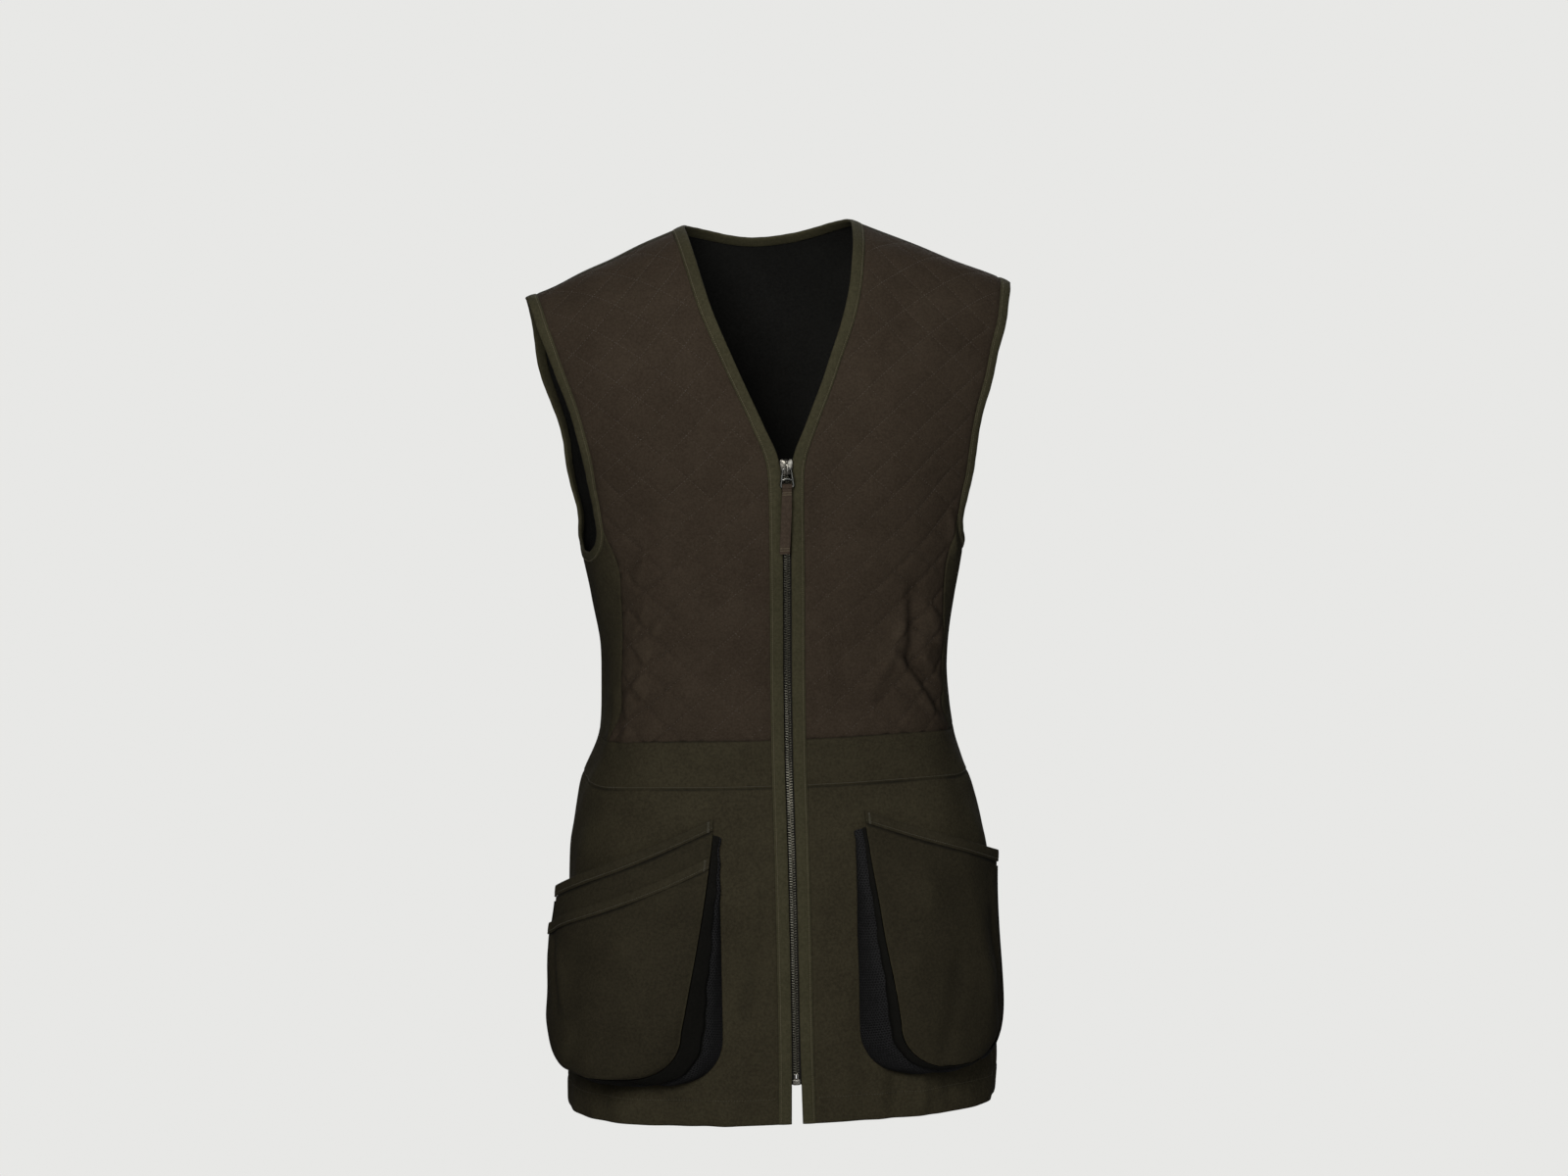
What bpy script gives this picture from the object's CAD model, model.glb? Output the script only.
"""Looks of a sleeveless shooting vest in its worn, hollow form.

Metres, +Z up. The front faces -Y, the vest's own left is +X, and the origin lies midway between the
neck points, at the height of the shoulder seams. A place on the body is an angle, 0 at the centre
front and 180 degrees at the centre back, and a level: metres below the chest line, or from 0 there
to 1 at the shoulder seam.
"""
from __future__ import annotations

import logging
import math
from dataclasses import dataclass, field
from enum import Enum
from typing import Callable, Sequence

import bpy
import numpy as np
from mathutils import Matrix, Vector


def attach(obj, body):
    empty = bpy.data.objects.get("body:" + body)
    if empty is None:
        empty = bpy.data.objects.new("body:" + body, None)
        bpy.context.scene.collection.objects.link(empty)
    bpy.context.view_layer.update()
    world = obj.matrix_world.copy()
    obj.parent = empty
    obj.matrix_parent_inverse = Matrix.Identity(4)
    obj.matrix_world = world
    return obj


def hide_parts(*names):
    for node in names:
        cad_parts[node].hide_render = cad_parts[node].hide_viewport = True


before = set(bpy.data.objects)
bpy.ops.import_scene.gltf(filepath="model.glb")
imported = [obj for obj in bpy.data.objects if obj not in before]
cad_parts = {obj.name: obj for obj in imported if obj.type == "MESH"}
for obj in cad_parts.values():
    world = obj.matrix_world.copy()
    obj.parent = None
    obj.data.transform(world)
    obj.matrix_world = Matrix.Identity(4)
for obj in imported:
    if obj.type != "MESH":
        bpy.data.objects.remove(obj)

Array = np.ndarray
Places = tuple[Array, Array]
Shell = tuple[Array, list[Array], Array]
Table = Sequence[Sequence[float]]
Colour = tuple[float, float, float, float]
Material = bpy.types.Material
Socket = bpy.types.NodeSocket
Sockets = bpy.types.bpy_prop_collection
LOG = logging.getLogger("vest")

SEAM_GAP = 0.0003  # clearance between layers
OVERLAP = 0.0006  # how far a binding reaches over the panel it holds
QUILT_THICKNESS = 0.0026
TWILL_THICKNESS = 0.0014
MESH_THICKNESS = 0.0012
BINDING_PROUD = 0.0007
BINDING_THICKNESS = 0.0038
FINE = 10  # grid rows for each coarse row of a seam


class Side(Enum):
    """The vest's own right or left side, with the sign of its X."""

    RIGHT = -1
    LEFT = 1

    @property
    def word(self) -> str:
        """The side's name in a piece name."""
        return self.name.lower()


class Half(Enum):
    """The half of the body, with the sign of its Y."""

    FRONT = -1
    BACK = 1


class Body(Enum):
    """The bodies that pieces ride on."""

    VEST = "vest"
    PULL = "zip_pull"


# ---- number helpers
def unit(vectors: Array) -> Array:
    """Vectors divided by their own lengths."""
    return vectors / np.maximum(np.linalg.norm(vectors, axis=-1, keepdims=True), 1e-12)


def smoothstep(low: float, high: float, at: Array) -> Array:
    """0 below low, 1 above high, and 3t^2 - 2t^3 of the share t between them."""
    t = np.clip((np.asarray(at, float) - low) / (high - low), 0, 1)
    return t * t * (3 - 2 * t)


def bump(at: Array, width: float) -> Array:
    """A bell of height 1: e to the minus (at / width) squared."""
    return np.exp(-(np.asarray(at, float) / width) ** 2)


def read_table(table: Table, column: int, at: Array) -> Array:
    """Read a column by the first one as a smooth curve that keeps each stretch between its two rows: a
    cubic whose end slopes are the harmonic mean of the slopes of the straight stretches that meet
    there, or 0 where those differ in sign."""
    x, y = np.array(sorted(table))[:, [0, column]].T
    step = np.diff(x)
    slope = np.diff(y) / step
    alike = slope[:-1] * slope[1:] > 0
    total = np.where(alike, slope[:-1] + slope[1:], 1.0)
    inner = np.where(alike, 2 * slope[:-1] * slope[1:] / total, 0.0)
    tangent = np.concatenate([slope[:1], inner, slope[-1:]])
    at = np.clip(np.asarray(at, float), x[0], x[-1])
    i = np.clip(np.searchsorted(x, at, side="right") - 1, 0, len(x) - 2)
    t = (at - x[i]) / step[i]
    rise, start, end = y[i + 1] - y[i], tangent[i] * step[i], tangent[i + 1] * step[i]
    return y[i] + t * (start + t * (3 * rise - 2 * start - end + t * (start + end - 2 * rise)))


def pair(first: Array, second: Array) -> Array:
    """Two arrays as the last axis of one."""
    return np.stack(np.broadcast_arrays(first, second), -1)


def outline(grid: Array) -> Array:
    """The points round the edge of a grid, from its first corner along its first row."""
    return np.concatenate([grid[0], grid[1:, -1], grid[-1, -2::-1], grid[-2:0:-1, 0]])


def travel(points: Array, axis: int = 0) -> Array:
    """Distance from the first point of each line to each of its points."""
    step = np.diff(points, axis=axis, prepend=points.take([0], axis))
    return np.cumsum(np.linalg.norm(step, axis=-1), axis=axis)


# ---- the body surface
@dataclass(frozen=True)
class BodyForm:
    """The worn surface that every cloth piece lies on: level sections that are rounded rectangles
    (superellipses), which lean in over the chest to close at the shoulder seam. Each row of the
    sections is a level, a half width, a front depth and a back depth."""

    chest_line: float = -0.22
    neck_point: float = 0.075
    shoulder_slope: float = 0.42
    squareness: float = 2.7
    sections: Table = (
        (-0.6, 0.192, 0.141, 0.128), (-0.48, 0.192, 0.138, 0.126), (-0.345, 0.185, 0.129, 0.119),
        (-0.295, 0.175, 0.122, 0.113), (-0.243, 0.16, 0.114, 0.106), (-0.18, 0.1545, 0.113, 0.104),
        (-0.115, 0.161, 0.119, 0.11), (-0.055, 0.175, 0.124, 0.115), (0.0, 0.188, 0.125, 0.116),
        (0.5, 0.226, 0.122, 0.113), (1.0, 0.248, 0.116, 0.108))

    def half_width(self, level: Array) -> Array:
        """Half the width of the section at each level."""
        return read_table(self.sections, 1, level)

    def shoulder_rise(self, across: Array) -> Array:
        """Height of the shoulder seam over the chest line: it falls by the slope outwards from the
        neck point, and a parabola rounds it over near the middle."""
        across = np.abs(across)
        rounded = np.where(across < 0.06, (across**2 + 0.06**2) / 0.12, across)
        return -self.shoulder_slope * (rounded - self.neck_point) - self.chest_line

    def height(self, across: Array, level: Array) -> Array:
        """Height of a level at a distance from the middle plane."""
        lean = np.clip(level, 0, 1) * math.pi / 2
        over = np.where(level > 0, self.shoulder_rise(across) * np.sin(lean), level)
        return self.chest_line + over

    def surface(self, angle: Array, level: Array, side: float = 1) -> Array:
        """Points of the surface. With k = 2 / squareness, x = half width * sin(angle)^k, and y =
        depth * cos(angle)^k times the cosine of the lean, which goes from 0 to 90 degrees over
        levels 0 to 1.

        Args:
            angle, level: the places.
            side: 1 for the left half, -1 for the right.

        Returns:
            The points, with their coordinates as the last axis.
        """
        angle, level = np.broadcast_arrays(np.asarray(angle, float), np.asarray(level, float))
        power, turn = 2 / self.squareness, np.cos(angle)
        across = self.half_width(level) * np.abs(np.sin(angle)) ** power * np.sign(np.sin(angle))
        depth = np.where(turn > 0, *(read_table(self.sections, k, level) for k in (2, 3)))
        lean = np.clip(level, 0, 1) * math.pi / 2
        out = -np.sign(turn) * depth * np.abs(turn) ** power * np.cos(lean)
        return np.stack([side * across, out, self.height(across, level)], axis=-1)

    def slopes(self, angle: Array, level: Array, side: float = 1, step: float = 2e-4) -> Places:
        """The surface's change for each radian of angle and for each unit of level."""
        low, high = np.maximum(level - step, -0.6), np.minimum(level + step, 1.0)
        by_angle, by_level = (self.surface(*far, side) - self.surface(*near, side) for far, near in (
            ((angle + step, level), (angle - step, level)), ((angle, high), (angle, low))))
        return by_angle / (2 * step), by_level / (high - low)[..., None]

    def outward(self, angle: Array, level: Array, side: float = 1) -> Array:
        """Unit normals that point out of the body."""
        return unit(np.cross(*self.slopes(angle, level, side))) * side

    def angle_at(self, across: Array, level: Array, back: bool = False) -> Array:
        """Angle where the surface is a given distance from the middle plane."""
        share = np.clip(np.abs(across) / self.half_width(level), 0, 1)
        angle = np.arcsin(share ** (self.squareness / 2)) * np.where(across < 0, -1, 1)
        return math.pi - angle if back else angle

    def level_at(self, height: Array, across: Array = 0.0) -> Array:
        """Level of a height, at a distance from the middle plane."""
        over = np.asarray(height, float) - self.chest_line
        upper = np.arcsin(np.clip(over / self.shoulder_rise(across), 0, 1)) * 2 / math.pi
        return np.where(over > 0, upper, over)

    def even_angles(self, first: float, last: float, level: float, count: int) -> Array:
        """Angles that share a stretch of the section into equal lengths."""
        fine = np.linspace(first, last, 1200)
        run = travel(self.surface(fine, level))
        return np.interp(np.linspace(0, run[-1], count), run, fine)


BODY = BodyForm()


class FlatMap:
    """Flat cloth coordinates of the body, in metres: u is the way round from the centre front, v is
    the height below the chest line or the way up over the chest."""

    def __init__(self, columns: int = 1201) -> None:
        """Measure the sections once: the length round to each angle, and its inverse."""
        self.levels = np.concatenate([np.linspace(-0.6, 0, 61)[:-1], np.linspace(0, 1, 101)])
        near, side = np.geomspace(1e-6, 0.3, 200), math.pi / 2
        self.angles = np.unique(np.concatenate([
            np.linspace(0, math.pi, columns), near, side - near, side + near, math.pi - near]))
        self.arcs = travel(BODY.surface(self.angles, self.levels[:, None]), 1)
        self.shares = np.linspace(0, 1, columns)
        self.by_share = np.stack([np.interp(self.shares * arc[-1], arc, self.angles)
                                  for arc in self.arcs])
        climb = travel(BODY.surface(0.55, self.levels))
        self.heights = climb - np.interp(0.0, self.levels, climb)

    def arc(self, angle: Array, level: Array) -> Array:
        """The way round from the centre front to each angle at each level."""
        turned = np.abs(np.where(angle > math.pi, 2 * math.pi - angle, angle))
        return self._read(self.arcs, self.angles, turned, level)

    def height(self, level: Array) -> Array:
        """Flat height of each level."""
        return np.interp(level, self.levels, self.heights)

    def place(self, u: Array, v: Array) -> Places:
        """Angle and level of flat coordinates on one half of the body."""
        level = np.interp(v, self.heights, self.levels)
        return self.around(u, level), level

    def around(self, arc: Array, level: Array) -> Array:
        """Angle at a way round from the centre front, at each level."""
        share = np.clip(arc / np.interp(level, self.levels, self.arcs[:, -1]), 0, 1)
        return self._read(self.by_share, self.shares, share, level)

    def _read(self, table: Array, keys: Array, at: Array, level: Array) -> Array:
        """Read a table of level rows and key columns, straight between its four neighbours."""
        at, level = np.broadcast_arrays(at, level)
        (r, t), (c, s) = (self._share(*line) for line in ((self.levels, level), (keys, at)))
        low = table[r, c] * (1 - s) + table[r, c + 1] * s
        high = table[r + 1, c] * (1 - s) + table[r + 1, c + 1] * s
        return low * (1 - t) + high * t

    @staticmethod
    def _share(keys: Array, at: Array) -> Places:
        """The stretch of a table that each value lies in, and its share along it."""
        i = np.clip(np.searchsorted(keys, at) - 1, 0, len(keys) - 2)
        return i, (at - keys[i]) / (keys[i + 1] - keys[i])


FLAT = FlatMap()


# ---- folds in the cloth
class FoldKind(Enum):
    """The cross profile of a fold."""

    RIDGE = "ridge"
    TROUGH = "trough"
    CREASE = "crease"


@dataclass(frozen=True)
class Fold:
    """One fold, as its start and end (x, z), its width and its height in millimetres.

    With d the distance across it over its width, a ridge lifts by e^(-d^2), a trough sinks by the
    same with a lower ridge on each side, and a crease rises slowly on its left and falls fast on
    its right. Its ends fade over a fifth of its length."""

    row: tuple[float, float, float, float, float, float]
    kind: FoldKind = FoldKind.RIDGE
    half: Half = Half.FRONT

    def lift(self, points: Array) -> Array:
        """How far the fold lifts the cloth at each point."""
        x, z, end_x, end_z, width, height = np.array(self.row) / 1000
        reach = np.array([end_x - x, end_z - z])
        along, place = unit(reach), points[..., [0, 2]] - [x, z]
        t = (place @ along) / np.linalg.norm(reach)
        d = (place @ np.array([-along[1], along[0]])) / width - 0.25 * np.sin(t * math.pi)
        if self.kind is FoldKind.RIDGE:
            shape = bump(d, 1)
        elif self.kind is FoldKind.TROUGH:
            shape = 0.55 * (bump(d - 1.5, 1) + bump(d + 1.5, 1)) - bump(d, 1)
        else:
            shape = bump(d, np.where(d < 0, 1.9, 0.75))
        ends = smoothstep(-0.2, 0.25, t) * smoothstep(1.2, 0.75, t)
        return height * shape * ends * smoothstep(0.012, 0.045, points[..., 1] * self.half.value)


FOLDS = (
    *(Fold(row) for row in (
        (-125, -262, -134, -322, 6, 1.8), (-122, -225, -144, -300, 10.5, -3),
        (-121, -315, -139, -370, 4.2, 2.2), (-129, -378, -141, -412, 4, -2),
        (-147, -405, -155, -462, 4, 2.2), (-142, -400, -149, -460, 3.4, -2),
        (-29, -380, -21, -440, 8, 1.6), (-32, -270, -34, -365, 7, -1.4),
        (-75, -395, -98, -440, 9, 1.8), (-70, -115, -112, -190, 15, 1.4),
        (106, -345, 76, -405, 7, 2.8), (34, -356, 35, -432, 8, 1.7),
        (22.6, -346, 23.6, -390, 5, -1.3), (150, -252, 153.5, -292, 3.4, 2.6),
        (80, -413, 100, -437, 6, -2.2), (62, -120, 105, -205, 16, 1.4),
        (130, -335, 139, -378, 5, 2.2), (-40, -635, -45, -705, 9, -3.4),
        (-30, -560, -47, -640, 10, 1.6), (89, -690, 87, -800, 8, -3.4),
        (114, -700, 112, -800, 7.8, 4), (136, -680, 138, -800, 9, -3.6),
        (52, -600, 40, -790, 12, 2), (-70, -770, -66, -830, 11, 2.2))),
    *(Fold(row, FoldKind.CREASE) for row in (
        (-110, -330, -141, -418, 6, 4.2), (-114, -378, -144, -450, 5.2, 3))),
    *(Fold(row, FoldKind.TROUGH) for row in (
        (108, -375, 144, -438, 5.6, 4.4), (114.4, -315, 115, -388, 6.6, 3.4))),
    *(Fold(row, FoldKind.TROUGH, Half.BACK) for row in (
        (-105, -330, -20, -405, 12, 1.7), (110, -340, 30, -412, 12, 1.5),
        (-95, -520, -100, -830, 15, 2.3), (70, -520, 80, -830, 15, 2.3))),
    *(Fold(row, FoldKind.RIDGE, Half.BACK) for row in (
        (-135, -385, -60, -428, 9, 1.3), (138, -388, 70, -432, 9, 1.3),
        (-10, -250, 6, -400, 15, -1.2), (-140, -190, -95, -300, 12, 1.2),
        (142, -195, 98, -305, 12, 1.2), (-60, -70, -80, -210, 18, 0.9),
        (60, -75, 78, -215, 18, 0.9), (-20, -540, -12, -830, 16, 2))))


@dataclass
class Drape:
    """How the cloth strays from the smooth body: the folds, and slow waves of a few sines whose
    directions and phases come from one seed. It is one field for the whole vest, so that pieces
    stay together at their seams, and it fades to nothing at the zip."""

    seed: int = 11
    wave_count: int = 9
    wave_height: float = 0.0005
    skirt_height: float = 0.0022
    narrow: float = 9.0

    def creases(self, points: Array) -> Array:
        """The part of the lift that comes from the narrow folds."""
        return sum(fold.lift(points) for fold in FOLDS if fold.row[4] < self.narrow)

    def lift(self, points: Array) -> Array:
        """How far out of the body each point of the smooth surface goes."""
        rng = np.random.default_rng(self.seed)
        total = sum(fold.lift(points) for fold in FOLDS)
        for _ in range(self.wave_count):
            direction = unit(rng.normal(size=3) * np.array([1.0, 0.8, 0.55]))
            wavelength = rng.uniform(0.04, 0.11)
            phase = rng.uniform(0, 2 * math.pi)
            wave = np.sin(points @ direction * 2 * math.pi / wavelength + phase)
            total = total + self.wave_height * wave
        x, y, z = np.moveaxis(points, -1, 0)
        turn = np.arctan2(x, -y)
        skirt = sum(height * np.sin(waves * turn + phase) for height, waves, phase in (
            (0.5, 13, 0.7), (0.35, 21, 2.1), (0.25, 34, 4.0)))
        below = smoothstep(-0.56, -0.8, z) * smoothstep(0.25, 0.6, np.abs(turn))
        calm = np.where(y > 0, 1.0, smoothstep(0.014, 0.034, np.abs(x)))
        return (total + self.skirt_height * skirt * below) * calm * smoothstep(0.045, -0.06, z)


DRAPE = Drape()


# ---- seam lines
@dataclass(frozen=True)
class SeamLine:
    """A seam that runs level round the body: its height at the centre, and how much lower it hangs at
    the sides. The drop follows the sine of the angle to the fourth."""

    centre: float
    drop: float

    def level(self, angle: Array) -> Array:
        """Level of the seam at each angle."""
        return self.centre - BODY.chest_line - self.drop * np.abs(np.sin(angle)) ** 4

    def line(self, angle: Array) -> Array:
        """Places along the seam."""
        return pair(angle, self.level(angle))


WAIST_SEAM = SeamLine(-0.446, 0.013)
BAND_SEAM = SeamLine(-0.489, 0.012)
HEM = SeamLine(-0.7925, 0.0065)


def patch(top: Array, bottom: Array, inner: Array, outer: Array) -> Array:
    """Fill four edge curves with a grid: the ruled fill down, plus the ruled fill across, less the
    straight fill of the four corners."""
    r = np.linspace(0, 1, len(inner))[:, None, None]
    c = np.linspace(0, 1, len(top))[None, :, None]
    corners = (1 - r) * ((1 - c) * top[0] + c * top[-1]) + r * ((1 - c) * bottom[0] + c * bottom[-1])
    return (1 - r) * top + r * bottom + (1 - c) * inner[:, None] + c * outer[:, None] - corners


@dataclass(frozen=True)
class Seams:
    """Where the pieces are cut, as fine lines of angles and levels on the left half. The
    tables give distances from the middle plane at heights: of the opening's edge, and of the armhole
    and the side seam at the front and at the back. A corner is the row of the armhole loop where a
    side seam starts."""

    ridge: float = 0.99995
    zip_top: float = -0.19
    facing_width: float = 0.0115
    neck_width: float = 0.0101
    binding_width: float = 0.0093
    skirt_angle: float = math.radians(97.0)
    underarm: float = -0.288
    back_neck_depth: float = 0.064
    back_neck_strip: float = 0.0052
    front_corner: int = 12 * FINE
    back_corner: int = 20 * FINE
    edge: Table = (
        (0.0, 0.075), (-0.055, 0.061), (-0.109, 0.04), (-0.158, 0.019), (-0.19, 0.0062),
        (-0.206, 0.0041), (-0.23, 0.0037), (-0.7, 0.0037), (-0.81, 0.0052))
    armhole: Table = (
        (-0.0575, 0.218, 0.218), (-0.095, 0.2055, 0.209), (-0.13, 0.194, 0.202),
        (-0.188, 0.177, 0.185), (-0.225, 0.1708, 0.179), (-0.254, 0.1652, 0.173))
    side: Table = (
        (-0.253, 0.16, 0.164), (-0.283, 0.149, 0.153), (-0.305, 0.145, 0.1485),
        (-0.38, 0.1432, 0.144), (-0.42, 0.144, 0.144), (-0.462, 0.1555, 0.148))

    @property
    def zip_level(self) -> float:
        """Level of the top of the zip."""
        return float(BODY.level_at(self.zip_top))

    def shifted(self, angle: Array, level: Array, direction: Array, distance: float) -> Places:
        """Move places along the surface, in four steps.

        Args:
            angle, level: the places.
            direction: unit vectors to move along.
            distance: how far to move, in metres.

        Returns:
            The new places.
        """
        for _ in range(4):
            by_angle, by_level = BODY.slopes(angle, level)
            move = direction * distance / 4
            aa, ll, al, am, lm = ((p * q).sum(-1) for p, q in (
                (by_angle, by_angle), (by_level, by_level), (by_angle, by_level), (by_angle, move),
                (by_level, move)))
            size = aa * ll - al * al
            angle = angle + (am * ll - lm * al) / size
            level = np.minimum(level + (lm * aa - am * al) / size, 1.0)
        return angle, level

    def armhole_half(self, half: Half) -> Places:
        """The armhole edge on one half: from the shoulder along its table to the corner where the
        side seam starts, then a quarter round to its lowest point."""
        height = np.linspace(self.armhole[0][0], self.armhole[-1][0], 600)
        across = read_table(self.armhole, 1 if half is Half.FRONT else 2, height)
        level = BODY.level_at(height, across)
        level[0] = 1.0
        angle = BODY.angle_at(across, level)
        run = travel(BODY.surface(angle, level))
        wanted = np.linspace(0, run[-1], 12 * FINE + 1)
        angle, level = np.interp(wanted, run, angle), np.interp(wanted, run, level)
        turn = np.linspace(0, math.pi / 2, 4 * FINE + 1)[1:]
        under = BODY.level_at(height[-1] - (height[-1] - self.underarm) * np.sin(turn))
        angle = np.append(angle, angle[-1] + (math.pi / 2 - angle[-1]) * (1 - np.cos(turn)))
        return (angle if half is Half.FRONT else math.pi - angle), np.append(level, under)

    def armhole_loop(self, distance: float) -> Places:
        """The whole armhole line, down the front, round below and up the back, moved into the cloth
        by a distance."""
        front, back = (self.armhole_half(half) for half in Half)
        angle, level = (np.append(a, b[-2:0:-1]) for a, b in zip(front, back))
        if distance == 0:
            return angle, level
        points = BODY.surface(angle, level)
        along = unit(np.roll(points, -1, axis=0) - np.roll(points, 1, axis=0))
        into = unit(np.cross(along, BODY.outward(angle, level)))
        into[0] = unit(np.array([-1.0, 0.0, BODY.shoulder_slope]))
        soft = sum(np.roll(into, k, axis=0) for k in range(-4, 5))
        row = np.arange(len(into))
        keep = np.minimum(row, len(into) - row) < 6
        return self.shifted(angle, level, unit(np.where(keep[:, None], into, soft)), distance)

    def side_seam(self, half: Half) -> Array:
        """A side seam from the armhole line to the waist."""
        back = half is Half.BACK
        row = self.back_corner if back else self.front_corner
        start_angle, start_level = (line[row] for line in self.armhole_loop(self.binding_width))
        height = np.linspace(BODY.chest_line + start_level, WAIST_SEAM.centre - WAIST_SEAM.drop,
                             8 * FINE + 1)
        level = height - BODY.chest_line
        angle = BODY.angle_at(read_table(self.side, 2 if back else 1, height), level, back)
        near = np.clip(1 - np.arange(len(angle)) / FINE, 0, 1)
        angle = angle + (start_angle - angle[0]) * near
        level[-1] = WAIST_SEAM.level(angle[-1])
        angle[0], level[0] = start_angle, start_level
        return pair(angle, level)

    def opening_edge(self, level: Array) -> Array:
        """Distance of the opening's edge from the middle plane at each level."""
        across = np.full_like(level, 0.05)
        for _ in range(12):
            across = read_table(self.edge, 1, BODY.height(across, level))
        return across

    def strip_edge(self, level: Array, width: float | Array) -> Places:
        """Places along the front at a distance from the opening's edge."""
        return BODY.angle_at(self.opening_edge(level) + width, level), level

    def neck_levels(self) -> Array:
        """Levels of the rows along the V, from the shoulder seam to the top of the zip."""
        return np.linspace(self.ridge, self.zip_level, 11 * FINE + 1)

    def strip_width(self, level: Array) -> Array:
        """Width of the strip beside the opening: the neck binding's, widening to the zip facing's
        just above the top of the zip."""
        share = smoothstep(self.zip_level + 0.12, self.zip_level, level)
        return self.neck_width + (self.facing_width - self.neck_width) * share

    def waist_angles(self) -> tuple[Array, Array, Array]:
        """Angles of the columns at the waist: those of the front, the side and the back."""
        level = WAIST_SEAM.centre - WAIST_SEAM.drop - BODY.chest_line
        seams = [float(self.side_seam(half)[-1, 0]) for half in Half]
        first = float(BODY.angle_at(self.facing_width + 0.004, level))
        sides = [np.linspace(seams[0], self.skirt_angle, 4 * FINE + 1),
                 np.linspace(self.skirt_angle, seams[1], 4 * FINE + 1)[1:]]
        return (BODY.even_angles(first, seams[0], level, 10 * FINE + 1), np.concatenate(sides),
                BODY.even_angles(seams[1], math.pi, level, 10 * FINE + 1))

    def back_neck_line(self, wider: float, deeper: float) -> Places:
        """Half of the back neck line, from the centre back to the shoulder seam. Seen from above it
        is a quarter ellipse behind the seam."""
        around = np.linspace(math.pi / 2, 0, 6 * FINE + 1)
        across = (BODY.neck_point + wider) * np.cos(around)
        out = (self.back_neck_depth + deeper) * np.sin(around)
        level = np.full_like(across, 0.8)
        for _ in range(14):
            angle = BODY.angle_at(across, level)
            depth = read_table(BODY.sections, 3, level) * np.cos(angle) ** (2 / BODY.squareness)
            level = np.arccos(np.clip(out / depth, 0, 1)) * 2 / math.pi
        level = np.minimum(level, self.ridge)
        return BODY.angle_at(across, level, back=True), level

    def across_patch(self, *edges: Array, back: bool = False) -> Places:
        """A patch filled evenly in distance from the middle plane instead of in angle."""
        top, bottom, inner, outer = edges
        grid = patch(*[pair(BODY.surface(*edge.T)[:, 0], edge[:, 1]) for edge in edges])
        angle = BODY.angle_at(grid[..., 0], grid[..., 1], back)
        angle[0], angle[-1] = top[:, 0], bottom[:, 0]
        angle[:, 0], angle[:, -1] = inner[:, 0], outer[:, 0]
        return angle, grid[..., 1]


SEAMS = Seams()


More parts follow.
